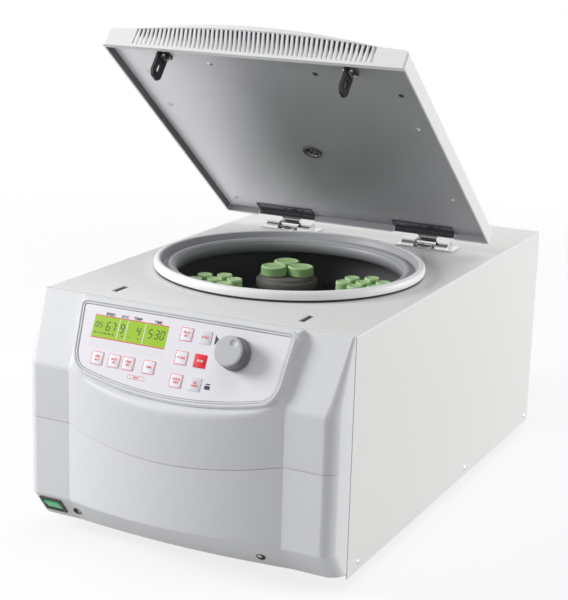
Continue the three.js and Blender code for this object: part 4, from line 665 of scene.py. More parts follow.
ink = surface("display_ink", (0.03, 0.07, 0.01), 0.35, drift=0.2, grain=1500, relief=0.004)
middle, left = -DISPLAY_DOWN, DISPLAY_X - DISPLAY_WIDE / 2
FIGURE_LEVEL, COLON_SHARE, COLON_DOT, DASH_DROP, DASH_HIGH = 0.22, 0.821, 0.9, 7.6, 1.3
figures = []
for digits, rise, wide, high, pen in (
        ((("6", 0.205), ("7", 0.275), ("9", 0.395), ("4", 0.615), ("5", 0.78), ("3", 0.862),
          ("0", 0.937)), 1.6, 4.6, 10.4, 1.35),
        ((("0", 0.05), ("5", 0.105)), 2.4, 3.6, 6.2, 0.95)):
    for digit, share in digits:
        figures += figure(digit, left + share * DISPLAY_WIDE, middle + rise, wide, high, pen)
figures += [bar_quad(left + COLON_SHARE * DISPLAY_WIDE, middle + rise, COLON_DOT, COLON_DOT)
            for rise in (0.2, 3.6)]
figures += [bar_quad(left + share * DISPLAY_WIDE, middle - DASH_DROP, wide, DASH_HIGH) for share, wide in
            ((0.045, 3.2), (0.09, 2.0), (0.13, 3.0), (0.18, 4.2), (0.235, 3.6), (0.285, 2.6), (0.41, 2.2),
             (0.5, 1.4), (0.63, 2.2))]
flat_strips("display_figures", figures, FIGURE_LEVEL, "case", ink)
pale = surface("print_white", (0.86, 0.87, 0.84), 0.4, drift=0.02, grain=2000, relief=0.004)
DIVIDER_LEVEL, DIVIDER_WIDE, DIVIDER_SHORT = 0.2, 1.0, 1.6
bars = [bar_quad(left + share * DISPLAY_WIDE, middle, DIVIDER_WIDE, DISPLAY_HIGH - DIVIDER_SHORT)
        for share in (0.345, 0.455, 0.695)]
flat_strips("display_dividers", bars, DIVIDER_LEVEL, "case", pale)
print_red = surface("print_red", (0.76, 0.018, 0.045), 0.35, drift=0.05, grain=2000, relief=0.004)
EDGE_LEVEL, EDGE_THICK, EDGE_WIDE, EDGE_LONGER = 0.16, 0.1, 1.0, 0.6
edges = [bar_quad(DISPLAY_X, middle + side * (DISPLAY_HIGH + EDGE_WIDE) / 2, DISPLAY_WIDE + EDGE_LONGER,
                  EDGE_WIDE) for side in (-1, 1)]
flat_strips("display_edge_lines", edges, EDGE_LEVEL, "case", print_red, EDGE_THICK)
print_black = surface("print_black", (0.02, 0.02, 0.022), 0.4, drift=0.2, grain=2000, relief=0.004)
LETTER_SCALE, LETTER_BOLD, INK_THICK, PRINT_LEVEL = 1.4, 0.05, 0.03, 0.1


def words(name, captions, level, body, finish):
    """Plain captions printed on the panel: each is (text, middle x, middle y, letter height). The
    letters are made a mesh before they are laid on the panel."""
    flat = bmesh.new()
    for text, x, y, size in captions:
        line = bpy.data.curves.new(name + "_line", "FONT")
        line.body, line.size, line.offset = text, size * LETTER_SCALE, LETTER_BOLD * size
        line.align_x, line.align_y, line.extrude = "CENTER", "CENTER", INK_THICK
        line.resolution_u = 2
        holder = bpy.data.objects.new(name + "_line", line)
        letters = bpy.data.meshes.new_from_object(holder)
        points = np.zeros(len(letters.vertices) * 3)
        letters.vertices.foreach_get("co", points)
        laid = placed(on_panel(points.reshape(-1, 3) + (x, y, level - INK_THICK)))
        letters.vertices.foreach_set("co", laid.ravel())
        flat.from_mesh(letters)
        bpy.data.objects.remove(holder)
        bpy.data.curves.remove(line)
        bpy.data.meshes.remove(letters)
    mesh = bpy.data.meshes.new(name)
    flat.to_mesh(mesh)
    flat.free()
    return mounted(mesh, name, body, finish)


CAPTION_RISE, CAPTION_HIGH = 16.6, 3.5
heads = [(text, left + share * DISPLAY_WIDE, middle + CAPTION_RISE, CAPTION_HIGH)
         for text, share in (("SPEED", 0.2), ("ACC", 0.40), ("TEMP", 0.575), ("TIME", 0.85))]
words("display_captions", heads, PRINT_LEVEL, "case", print_black)


# Keys
# Ten domes under the film show as faint squares. Most are framed by a fine red line, one is solid
# red, and two have no frame. Each sinks half a millimetre when it is pressed.
KEY_WIDE, KEY_HIGH = 0.116 * FILM_HALF, 0.193 * PANEL_DROP
KEY_CORNER, KEY_LOW, KEY_TOP, KEY_EASE = 0.8, -1.0, 0.66, 0.2
key_spots = {
    "key_run_1": (-0.758, 0.766, "RPM RCF"),
    "key_run_2": (-0.588, 0.766, "RATE UP"),
    "key_run_3": (-0.446, 0.766, "TEMP SET"),
    "key_run_4": (-0.241, 0.766, "TIME"),
    "key_top_left": (0.044, 0.213, "PROG SET"),
    "key_top_right": (0.226, 0.213, "START"),
    "key_middle_left": (0.044, 0.552, "STORE"),
    "key_stop": (0.226, 0.552, "STOP"),
    "key_bottom_left": (0.044, 0.882, "QUICK SPIN"),
    "key_bottom_right": (0.226, 0.882, "LID OPEN"),
}
plain_keys = ("key_top_right", "key_bottom_right")
key_white = surface("key_white", (0.85, 0.84, 0.89), 0.5, drift=0.01, grain=2200, relief=0.01)
key_grey = surface("key_pale_grey", (0.70, 0.70, 0.74), 0.55, drift=0.01, grain=2200, relief=0.01)
key_red = surface("key_red", (0.74, 0.008, 0.025), 0.55, drift=0.03, grain=2200, relief=0.01)


def edge_line(name, edge, wide, low, high, body, finish):
    """A fine printed line just inside an edge: a low rectangle carried round it."""
    section = [(0, low), (0, high), (-wide, high), (-wide, low), (0, low)]
    mesh = grid_mesh(name, placed(on_panel(carried(edge[::-1], section))), closed_across=True)
    return mounted(mesh, name, body, finish)


FRAME_IN, FRAME_WIDE, FRAME_LOW, FRAME_TOP = 0.1, 0.6, 0.52, 0.72
WORD_LEVEL, WORD_HIGH, WORD_STEP = 0.74, 2.5, 2.0
for node, (across, down, caption) in key_spots.items():
    x, y = across * FILM_HALF, -down * PANEL_DROP
    body = node + "_cap"
    tone = key_red if node == "key_stop" else key_grey if node in plain_keys else key_white
    edge = round_corners(KEY_WIDE, KEY_HIGH, KEY_CORNER, x, y)
    cap = plate(node + "_dome", edge, KEY_LOW, KEY_TOP, body, tone, KEY_EASE)
    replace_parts(cap, node)
    if node not in plain_keys + ("key_stop",):
        edge = round_corners(KEY_WIDE - FRAME_IN, KEY_HIGH - FRAME_IN, KEY_CORNER, x, y)
        edge_line(node + "_frame", edge, FRAME_WIDE, FRAME_LOW, FRAME_TOP, body, print_red)
    tone = pale if node == "key_stop" else print_red
    lines = caption.split()
    captions = [(line, x, y + WORD_STEP * (len(lines) - 1 - 2 * i), WORD_HIGH)
                for i, line in enumerate(lines)]
    words(node + "_word", captions, WORD_LEVEL, body, tone)
MODE_X, MODE_Y, MODE_HIGH = -0.34 * FILM_HALF, -0.945 * PANEL_DROP, 1.8
marks = words("panel_words", [("MODE", MODE_X, MODE_Y, MODE_HIGH)], PRINT_LEVEL, "case", print_red)
PILL_WIDE, PILL_HIGH, PILL_CORNER, PILL_LINE = 24.0, 5.0, 2.4, 0.4
pill = round_corners(PILL_WIDE, PILL_HIGH, PILL_CORNER, MODE_X, MODE_Y)
edge_line("pill_mark", pill, PILL_LINE, 0.0, PRINT_LEVEL, "case", print_red)
KNOB_X, KNOB_DOWN = 0.537 * FILM_HALF, 0.373 * PANEL_DROP
POINTER_X, POINTER_Y = KNOB_X - 27.5, 12.5 - KNOB_DOWN
pointer = [(POINTER_X + x, POINTER_Y + y) for x, y in ((-3.6, 6.2), (3.6, -0.4), (-3.4, -5.6))]
LOCK_X, LOCK_Y = 0.345 * FILM_HALF, -0.882 * PANEL_DROP
lock_mark = [bar_quad(LOCK_X, LOCK_Y - 1.4, 7.4, 4.6),
             bar_quad(LOCK_X + 0.4, LOCK_Y + 2.7, 5.6, 1.5, 1.6)]
flat_strips("panel_marks", [pointer] + lock_mark, PRINT_LEVEL, "case", print_black)


# Control knob
# A turned satin grey knob on the encoder's shaft. It has a low skirt, a grip painted darker as
# painted shade on its side, a fine chamfer and a round finger dimple near its edge.
KNOB_HIGH, FACE_RADIUS, FACE_DROP, FACE_LAP, KNOB_STEPS = 23.0, 16.9, 0.1, 0.4, 128
DIMPLE_X, DIMPLE_Y, DIMPLE_RADIUS, DIMPLE_DEEP = 6.0, 9.8, 5.0, 1.7
side = turned([(0, 0.6), (19.6, 0.6), (20.5, 1.3), (20.5, 3.6), (19.9, 4.6), (19.2, 5.6), (19.0, 8),
               (18.95, 14), (18.9, 19.6), (18.5, 21.4), (17.7, 22.5),
               (FACE_RADIUS, KNOB_HIGH - FACE_DROP)], KNOB_STEPS)
rings = np.linspace(1, 0, 52)[:, None]
turn = np.linspace(0, 2 * math.pi, KNOB_STEPS, endpoint=False)
face_x, face_y = FACE_RADIUS * rings * np.cos(turn), FACE_RADIUS * rings * np.sin(turn)
near = np.clip(1 - ((face_x - DIMPLE_X) ** 2 + (face_y - DIMPLE_Y) ** 2) / DIMPLE_RADIUS ** 2, 0, 1)
face = np.stack([face_x, face_y, KNOB_HIGH - FACE_DROP * rings ** 2 - DIMPLE_DEEP * near ** 0.75], -1)
knob_at = on_panel([(KNOB_X, -KNOB_DOWN, 0)])[0]


def grip_painted_shade(wire, place, tint, roughness, height):
    """The knob's grip is painted darker than its face, as painted shade on its side. The height over
    the panel is the dot product of the place and the panel's outward direction."""
    level = wire.node("VectorMath", {"operation": "DOT_PRODUCT"}, {0: place, 1: OUT}, out=1)
    foot = float(placed(knob_at) @ np.array(OUT))
    face = level > foot + (KNOB_HIGH - DIMPLE_DEEP - FACE_LAP) / 1000
    return face.mixed((0.15, 0.155, 0.16), tint), roughness, height


# The knob's darker grip is painted shade on its side.
knob_tone = surface("knob_grey", (0.53, 0.54, 0.57), 0.42, drift=0.03, grain=1600, relief=0.015,
                    pattern=grip_painted_shade)
knob_grid = moved(np.concatenate([side, face]), (1, 0, 0), SLOPE, OUT, knob_at)
knob_mesh = grid_mesh("turned_knob", placed(knob_grid), closed_across=True)
knob = mounted(knob_mesh, "turned_knob", "knob", knob_tone, sharp=40)
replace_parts(knob, "control_knob")


# Power switch
# A black frame clipped into the chamfer of the left pillar, with a translucent green rocker that
# pivots across it. Its faint glow is painted light, standing in for light through the plastic.
softened("switch_frame", black_moulding, bevel=0.7)
# The rocker's glow is painted light, standing in for light passing through its translucent plastic.
rocker_green = surface("rocker_green", (0.006, 0.40, 0.12), 0.34, drift=0.15, patch=60, grain=900,
                       relief=0.01, glow=0.08, lacquer=0.25)
softened("power_rocker", rocker_green, bevel=0.9, steps=3)


# Bowl and gasket
# A deep drawn stainless bowl hangs from the cover by its mouth. A pale grey rubber gasket sits round
# the mouth, with a crown outside, a channel inside it and a lip that turns down into the bowl.
BOWL_Y = 256.0


def bowl_turned(name, profile, nodes, finish, steps=160, sharp=35):
    """A turned piece about the bowl's axis that stands for some nodes."""
    grid = turned(profile, steps) + (0, BOWL_Y, 0)
    made = mounted(grid_mesh(name, placed(grid), closed_across=True), name, "case", finish, sharp)
    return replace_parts(made, *nodes)


bowl_steel = surface("bowl_steel", (0.33, 0.335, 0.345), 0.42, metal=0.6, drift=0.08, grain=260,
                     relief=0.01, stretch=(0.15, 0.15, 4.0))
bowl_profile = [(154, 307), (155.5, 307), (155.5, 294), (188.5, 294), (188.5, 121), (187, 115.5),
                (183, 111.5), (178, 110), (24, 110), (24, 111.5), (177, 111.5), (181.5, 112.8),
                (185.5, 116.5), (187, 121.5), (187, 289), (185, 292), (181, 292.5), (157, 292.5),
                (154.4, 293.4), (154, 295), (154, 307)]
bowl_turned("drawn_bowl", bowl_profile, ("bowl", "bowl_wall", "bowl_neck"), bowl_steel)


LIP_FOOT, LIP_HIGH, FOOT_TOP, CROWN_INSIDE = 292.0, 14.5, 306.9, 174.2
SOFT_STEP, SHARP_STEP = 900.0, 2500.0


def height_over(place, level):
    """How far a point lies over a level of the case, in metres."""
    return place.part(2) - float(placed((0, 0, level))[2])


def crown_and_painted_shade(wire, place, tint, roughness, height):
    """The gasket's crown is white. Its foot is painted black as the shadow line under the crown, and
    inside the crown it is painted grey as shade, darkening evenly down the lip into the bowl."""
    off_axis = place.distance(placed((0, BOWL_Y, 0)), (1, 1, 0))
    inside = 1 - ((off_axis - CROWN_INSIDE / 1000) * SOFT_STEP).clipped()
    rise = (height_over(place, LIP_FOOT) * (1000.0 / LIP_HIGH)).clipped()
    grey = rise.mixed((0.09, 0.092, 0.10), (0.45, 0.455, 0.475))
    foot = (1 - height_over(place, FOOT_TOP) * SHARP_STEP).clipped()
    crown = foot.mixed(tint, (0.02, 0.02, 0.022))
    return inside.mixed(crown, grey), roughness, height


# The gasket's black foot is a painted shadow line, and its grey inside is painted shade.
gasket_rubber = surface("gasket_rubber", (0.90, 0.905, 0.92), 0.45, drift=0.02, patch=9, grain=1300,
                        relief=0.03, pattern=crown_and_painted_shade)
gasket_profile = [(157, 304.4), (181.4, 304.4), (181.6, 306.6), (182.5, 307.4), (183.0, 309.4),
                  (183.0, 312.6), (182.3, 315.4), (180.6, 317.4), (178.0, 318.3), (175.6, 317.9),
                  (173.8, 316.4), (172.9, 314.2), (172.3, 311.4), (171.2, 308.8), (169.4, 307.4),
                  (167.2, 307.2), (165.6, 308.2), (164.2, 310.0), (162.2, 311.0), (159.6, 310.8),
                  (157.2, 309.6), (155.0, 307.8), (153.5, 305.6), (152.9, 302.5), (152.8, 292.4),
                  (153.2, 291.6), (153.8, 292.4), (153.8, 306.2), (155.9, 307.0), (157, 306.4),
                  (157, 304.4)]
bowl_turned("ring_gasket", gasket_profile, ("bowl_gasket",), gasket_rubber, sharp=50)


# Rotor and drive
# A milled and dark anodised cross turns on the motor's steel shaft and is held by one round nut. The
# buckets hang on its short pins.
rotor_metal = surface("rotor_anodised", (0.045, 0.045, 0.05), 0.42, metal=0.6, drift=0.2, patch=20,
                      grain=1200, relief=0.02)
softened("rotor", rotor_metal, bevel=1.2, steps=3)
nut_metal = surface("nut_alloy", (0.42, 0.43, 0.45), 0.32, metal=0.9, drift=0.08, grain=600, relief=0.02,
                    stretch=(1, 1, 8))
softened("rotor_nut", nut_metal, bevel=1.0)
ground_steel = surface("ground_steel", (0.55, 0.56, 0.58), 0.28, metal=1.0, drift=0.06, grain=700,
                       relief=0.01, stretch=(1, 1, 9))
dress(ground_steel, "drive_shaft", "lock_bolt_left", "lock_bolt_right")
motor_can = surface("motor_can", (0.07, 0.075, 0.085), 0.4, metal=0.6, drift=0.2, grain=500, relief=0.02)
softened("motor", motor_can, bevel=1.5)
softened("motor_mount", foot_rubber, bevel=1.0)
dress(zinc_sheet, "deck")
foam = surface("insulating_foam", (0.68, 0.56, 0.30), 0.9, drift=0.2, patch=40, grain=600, relief=0.4)
dress(foam, "insulation")


# Buckets, adapters and tubes
# Four turned buckets hang by slotted ears. Each holds a moulded grey adapter with a stepped collar;
# two carry three wide tubes and two carry seven narrow ones, all with ribbed green screw caps.
ROTOR_TURN, PIVOT_RADIUS, PIVOT_Z = math.radians(28), 101.0, 244.0
CAP_TOP = PIVOT_Z + 41.2
bucket_metal = surface("bucket_anodised", (0.085, 0.09, 0.10), 0.36, metal=0.7, drift=0.15, grain=900,
                       relief=0.02)
adapter_plastic = surface("adapter_plastic", (0.185, 0.176, 0.165), 0.5, drift=0.12, grain=1500,
                          relief=0.04)


def lit_top_paint(wire, place, tint, roughness, height):
    """The caps' flat tops are painted paler than their ribbed sides, as painted light from above; they
    start at one height above the case.
    """
    top = (height_over(place, CAP_TOP) * SHARP_STEP).clipped()
    return top.mixed(tint, (0.56, 0.82, 0.41)), roughness, height


# The caps' paler tops are painted light from above.
cap_green = surface("cap_green", (0.38, 0.62, 0.26), 0.46, drift=0.05, patch=45, grain=1500, relief=0.03,
                    pattern=lit_top_paint)
tube_plastic = surface("tube_plastic", (0.55, 0.58, 0.52), 0.3, drift=0.05, grain=1500, relief=0.02)
RIB_STEPS, RIB_DEEP, NECK_STEP, NECK_FOOT, NECK_MIDDLE, NECK_LAP = 4, 0.035, 3.2, 27.0, 29.5, 0.4
COLLAR = [(30.5, -68), (36, -66), (40, -61), (41.9, -56), (41.9, 12.4), (43.4, 12.4), (43.6, 13.0),
          (43.6, 20.6), (43.2, 21.6), (42.2, 22.0), (40.0, 22.1), (39.4, 22.6), (39.2, 23.4),
          (39.0, 26.8), (38.6, 27.6), (37.8, 28.0)]


def ribbed_cap(radius, high, ribs, base):
    """A screw cap: its radius dips between ribs as a raised cosine of the angle, full between foot
    and shoulder and fading to none at both; a low bead rings the flat top."""
    turn = np.linspace(0, 2 * math.pi, ribs * RIB_STEPS, endpoint=False)
    section = [(0.90, 0.0, 0), (0.985, 0.0, 0), (1.0, 0.04, 0.2), (1.0, 0.10, 1), (1.0, 0.78, 1),
               (0.995, 0.86, 0.6), (0.975, 0.93, 0), (0.94, 0.975, 0), (0.89, 1.0, 0), (0.84, 1.0, 0),
               (0.80, 0.965, 0), (0.4, 0.955, 0), (0.0, 0.955, 0)]
    share, up_share, rib = (np.array(v)[:, None] for v in zip(*section))
    swept = radius * share * (1 - RIB_DEEP * rib * (0.5 - 0.5 * np.cos(ribs * turn)))
    return np.stack([swept * np.cos(turn), swept * np.sin(turn), base + high * up_share + 0 * turn], -1)


def ring_of(count, circle):
    """Places at equal steps round a circle."""
    turns = math.pi / 2 + np.arange(count) * 2 * math.pi / count
    return [(circle * math.cos(turn), circle * math.sin(turn)) for turn in turns]


def filled_bucket(place, turns, spots, radius, base, cap_high, ribs):
    """One bucket's adapter and tubes, in the frame of its pivot: x along the pins, y outwards."""
    angle = ROTOR_TURN + turns * math.pi / 2
    outwards = (-math.sin(angle), math.cos(angle), 0)
    pivot = np.array((0, BOWL_Y, PIVOT_Z)) + PIVOT_RADIUS * np.array(outwards)

    def hung(grid):
        """Carries a grid from the pivot's frame to the case."""
        return moved(grid, (math.cos(angle), math.sin(angle), 0), outwards, (0, 0, 1), pivot)

    body = "swing_" + place
    softened("bucket_" + place, bucket_metal, bevel=0.8)
    collar = hung(turned(COLLAR, steps=72))
    adapter = joined("adapter_" + place, [collar], body, adapter_plastic, sharp=40)
    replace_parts(adapter, "tube_rack_" + place)
    inner = radius - NECK_STEP
    neck = turned([(inner, NECK_FOOT), (inner, NECK_MIDDLE), (inner, base + NECK_LAP)], steps=32)
    necks = [hung(neck + (x, y, 0)) for x, y in spots]
    joined("tube_necks_" + place, necks, body, tube_plastic, sharp=60)
    caps = [hung(ribbed_cap(radius, cap_high, ribs, base) + (x, y, 0)) for x, y in spots]
    joined("tube_caps_" + place, caps, body, cap_green, sharp=50)


wide_tubes = {"spots": ring_of(3, 21.8), "radius": 18.2, "base": 29.6, "cap_high": 12.4, "ribs": 54}
narrow_tubes = {"spots": ring_of(6, 27.0) + [(0, 0)], "radius": 10.6, "base": 30.4, "cap_high": 13.6,
                "ribs": 32}
for turns, place in enumerate(("rear", "left", "front", "right")):
    filled_bucket(place, turns, **(narrow_tubes if turns % 2 else wide_tubes))


# Screw recesses and case screws
# Two dark recesses in the lower chamfer hide the screws that hold the front. Dome-head screws along
# the lower edge of each side hold the cover to the pan.
recess_black = surface("recess_black", (0.02, 0.02, 0.022), 0.6, drift=0.3, grain=1500, relief=0.03)
CHAMFER_RISE, CHAMFER_RUN = CHAMFER_TOP - CHAMFER_BOTTOM, PILLAR_REACH - CHAMFER_REACH
CHAMFER_LONG, CUP_PROUD = math.hypot(CHAMFER_RISE, CHAMFER_RUN), 1.1
CHAMFER_OUT = np.array((0, -CHAMFER_RISE, -CHAMFER_RUN)) / CHAMFER_LONG
CHAMFER_UP = np.array((0, CHAMFER_RUN, -CHAMFER_RISE)) / CHAMFER_LONG
cup = turned([(0, -1.2), (3.6, -1.2), (4.4, -0.6), (4.9, 0.25), (5.5, 0.35), (5.9, 0.05), (5.9, -2.4),
              (0, -2.4)], steps=40)
for side, place in (("left", (-146.6, -36.6, 25.2)), ("right", (119.6, -41.6, 24.6))):
    name = "recess_" + side
    grid = moved(cup, (1, 0, 0), CHAMFER_UP, CHAMFER_OUT, np.array(place) + CHAMFER_OUT * CUP_PROUD)
    recess = mounted(grid_mesh(name, placed(grid), closed_across=True), name, "case", recess_black)
SIDE_FACE, SIDE_SCREW_Z, SIDE_SCREW_RADIUS = 214.4, 10.8, 4.1
side_heads = [((s * SIDE_FACE, y, SIDE_SCREW_Z), (s, 0, 0), SIDE_SCREW_RADIUS)
              for s in (-1, 1) for y in (31, 403, 670)]
dome_screws("cover_screws", side_heads, "case", screw_finish)


# Lid
# A hollow white moulding with a crowned top. Its front edge has a curved finger recess crossed by
# fine fins, and a flat grey liner closes it underneath.
PIVOT_Y, LID_PIVOT_Z, LID_OPEN, LINER_Z = 484.0, 311.0, math.radians(38.5), 319.3
LID_FRONT, LID_REAR, LID_SKIRT = 16.6, 460.6, 309.5
WALL_HIGH, WALL_FRONT, WALL_REAR, WALL_SIDE = 22.0, 6.0, 2.3, 0.20768
EDGE_KEPT, REAR_PALE = 0.0004, 0.004
OPEN_COS, OPEN_SIN = math.cos(LID_OPEN), math.sin(LID_OPEN)


def on_lid(points):
    """From the case, with the lid shut, to the open lid: a turn about the hinge line."""
    turn = np.array([(1, 0, 0), (0, OPEN_COS, -OPEN_SIN), (0, OPEN_SIN, OPEN_COS)])
    return (np.asarray(points, float) - (0, PIVOT_Y, LID_PIVOT_Z)) @ turn + (0, PIVOT_Y, LID_PIVOT_Z)


def shut_place(place):
    """How far back of the hinge line and over it a point lies once the lid is turned shut, in metres."""
    pivot = placed((0, PIVOT_Y, LID_PIVOT_Z))
    off, above = place.part(1) - float(pivot[1]), place.part(2) - float(pivot[2])
    return off * OPEN_COS - above * OPEN_SIN, off * OPEN_SIN + above * OPEN_COS


def hollow_painted_shade(wire, place, tint, roughness, height):
    """The lid's walls are painted dark inside, within the shut lid's skirt, front and rear, as painted
    shade in its hollow. The rear wall is painted a little paler, as painted light that it catches."""
    depth, level = shut_place(place)
    low, high = (LID_SKIRT - LID_PIVOT_Z) / 1000, (LID_SKIRT - LID_PIVOT_Z + WALL_HIGH) / 1000
    front, rear = (LID_FRONT + WALL_FRONT - PIVOT_Y) / 1000, (LID_REAR - WALL_REAR - PIVOT_Y) / 1000
    within = (level > low + EDGE_KEPT) * (level < high) * (depth > front)
    inside = (wire.maths("ABSOLUTE", place.part(0)) < WALL_SIDE) * within * (depth < rear)
    painted_shade_tone = (depth > rear - REAR_PALE).mixed((0.13, 0.133, 0.14), (0.36, 0.365, 0.385))
    return inside.mixed(tint, painted_shade_tone), roughness, height


lid_look = {"colour": (0.80, 0.805, 0.815), "rough": 0.45, "drift": 0.012, "patch": 4, "grain": 1400,
            "relief": 0.025}
lid_white = surface("lid_white", **lid_look)
# The lid shell's dark inside is painted shade, and its paler rear wall is painted light.
softened("lid_shell", surface("lid_shell_white", pattern=hollow_painted_shade, **lid_look), bevel=0.35)
GRIP_HALF, GRIP_LIP, GRIP_LOW, GRIP_HIGH = 167.0, 15.0, 314.0, 336.5
GRIP_DEEP, FIN_PITCH, FIN_COUNT, FIN_NOSE = 4.0, 6.5, 25, 0.5
FIN_SET_BACK, FIN_SHORT, FIN_ROOT = 0.3, 1.0, 0.4
FIN_SECTION = ((-0.02, 5.7), (0.3, 5.2), (0.55, 4.0), (0.8, 2.4), (1.03, 1.9))


def fin_front(x, share):
    """How far back the fins' front edge lies: from the lid's front at the bottom it comes forward,
    partly as the height and partly as its square, to the lip's bow at the top."""
    bow = 1 - (x / GRIP_HALF) ** 2
    return LID_FRONT + FIN_SET_BACK - (GRIP_LIP - FIN_SHORT) * bow * (0.55 * share + 0.45 * share ** 2)


def fin(middle_x):
    """One fin as rising rows of six points: square at the back, with its two front corners cut."""
    rear, rows = LID_FRONT + GRIP_DEEP + FIN_ROOT, []
    for share, wide in FIN_SECTION:
        z, front = GRIP_LOW + share * (GRIP_HIGH - GRIP_LOW), fin_front(middle_x, min(max(share, 0), 1))
        half = ((-wide / 2, rear), (-wide / 2, front + FIN_NOSE), (-wide / 2 + FIN_NOSE, front))
        rows.append([(middle_x + x, y, z) for x, y in half] +
                    [(middle_x - x, y, z) for x, y in half[::-1]])
    return on_lid(rows)


fin_parts = [fin(middle_x) for middle_x in FIN_PITCH * np.arange(-FIN_COUNT, FIN_COUNT + 1)]
joined("lid_fins", fin_parts, "lid", lid_white, sharp=50)


def recess_shade_fade(wire, place, tint, roughness, height):
    """The sheet behind the fins is painted shade: dark above, where the recess is deep, and fading to
    the lid's white at its foot.
    """
    level = shut_place(place)[1]
    low, rise = (GRIP_LOW - LID_PIVOT_Z) / 1000, (GRIP_HIGH - GRIP_LOW) / 1000
    share = ((level - low) * (1.6 / rise)).clipped()
    return share.mixed((0.42, 0.425, 0.44), tint), roughness, height


# A dark sheet just behind the fins' front edges is painted shade, standing for the shade deep in the gaps
# between them.
recess_shade_paint = surface("recess_shade_paint", (0.022, 0.025, 0.034), 0.7, drift=0.2, grain=1200, relief=0.05,
                    pattern=recess_shade_fade)
STRIP_END = FIN_PITCH * (FIN_COUNT + 0.2)
strip_x = np.linspace(-STRIP_END, STRIP_END, 90)
strip_section = ((0.02, 2.6), (0.35, 2.4), (0.7, 2.1), (0.99, 2.1), (0.99, 2.9), (0.7, 2.9), (0.35, 3.2),
                 (0.02, 3.4))
rows = [np.stack([strip_x, fin_front(strip_x, share) + sink,
                  0 * strip_x + GRIP_LOW + share * (GRIP_HIGH - GRIP_LOW)], -1)
        for share, sink in strip_section]
strip = on_lid(np.array(rows).transpose(1, 0, 2))
joined("lid_recess_shade_sheet", [strip], "lid", recess_shade_paint, sharp=50)
PORT_Y, RING_RADIUS, RING_HALF, SHEEN_FROM, SHEEN_STEP = 262.6, 0.171, 0.003, -0.02, 6.0
GRAIN_KEPT, RING_RAISED = 0.25, 3.0


def pressed_ring_and_painted_sheen(wire, place, tint, roughness, height):
    """A shallow ring pressed in the liner round the port, 171 mm in radius and 3 mm wide. A painted
    sheen makes the sheet paler evenly towards its left edge."""
    centre = placed(on_lid([(0, PORT_Y, LINER_Z)]))[0]
    off = wire.maths("ABSOLUTE", place.distance(centre) - RING_RADIUS)
    ridge = 1 - (off * (1 / RING_HALF)).clipped()
    sheen = ((place.part(0) - SHEEN_FROM) * -SHEEN_STEP).clipped()
    return sheen.mixed(tint, (0.96, 0.96, 1.0)), roughness, height * GRAIN_KEPT + ridge * RING_RAISED


# The liner's paler left part is a painted sheen.
liner_grey = surface("liner_grey", (0.46, 0.465, 0.49), 0.42, metal=0.35, drift=0.06, patch=4, grain=1100,
                     relief=0.05, pattern=pressed_ring_and_painted_sheen)
softened("lid_liner", liner_grey, bevel=0.3)
port_steel = surface("port_steel", (0.13, 0.13, 0.14), 0.3, metal=0.9, drift=0.1, grain=700, relief=0.02)
port_profile = [(0, 3.2), (10.4, 3.2), (10.7, -0.3), (13.6, -0.3), (14, -0.7), (14, -1.5), (13.4, -2.2),
                (12.6, -2.5), (11.2, -2.4), (10.2, -1.8), (9.4, -0.5), (9, 1.3), (0, 1.3)]
port_grid = on_lid(turned(port_profile, steps=64) + (0, PORT_Y, LINER_Z))
port_mesh = grid_mesh("turned_port", placed(port_grid), closed_across=True)
port_piece = mounted(port_mesh, "turned_port", "lid", port_steel)
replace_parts(port_piece, "lid_port")
TOOTH_RING, TOOTH_HALF, TOOTH_DROP, TOOTH_ROOT = 5, 1.1, 1.9, 1.1
tooth = [on_lid(block((x - TOOTH_HALF, PORT_Y + y - TOOTH_HALF, LINER_Z - TOOTH_DROP),
                      (x + TOOTH_HALF, PORT_Y + y + TOOTH_HALF, LINER_Z + TOOTH_ROOT), ease=0.3))
         for x, y in ((-TOOTH_RING, 0), (TOOTH_RING, 0), (0, -TOOTH_RING), (0, TOOTH_RING))]
joined("port_teeth", tooth, "lid", plated)


LINER_HEAD = ((0.22, 0.10), (0.24, 0.34), (0.7, 0.26), (1, 0.05), (1, -0.2))


def lid_screws(name, spots, radius, finish):
    """Screw heads under the liner; each spot is x and y with the lid shut."""
    head = turned(radius * np.array(LINER_HEAD), steps=16) * (1, 1, -1)
    return joined(name, [on_lid(head + (x, y, LINER_Z)) for x, y in spots], "lid", finish)


lid_screws("liner_screws",
           [(-177, 89), (-73, 58.5), (-182, 171), (-186, 430), (179, 174), (178, 356), (74, 430)],
           radius=4.0, finish=screw_finish)
lid_screws("liner_plugs", [(75, 61.5), (180, 95)], radius=3.6, finish=recess_black)


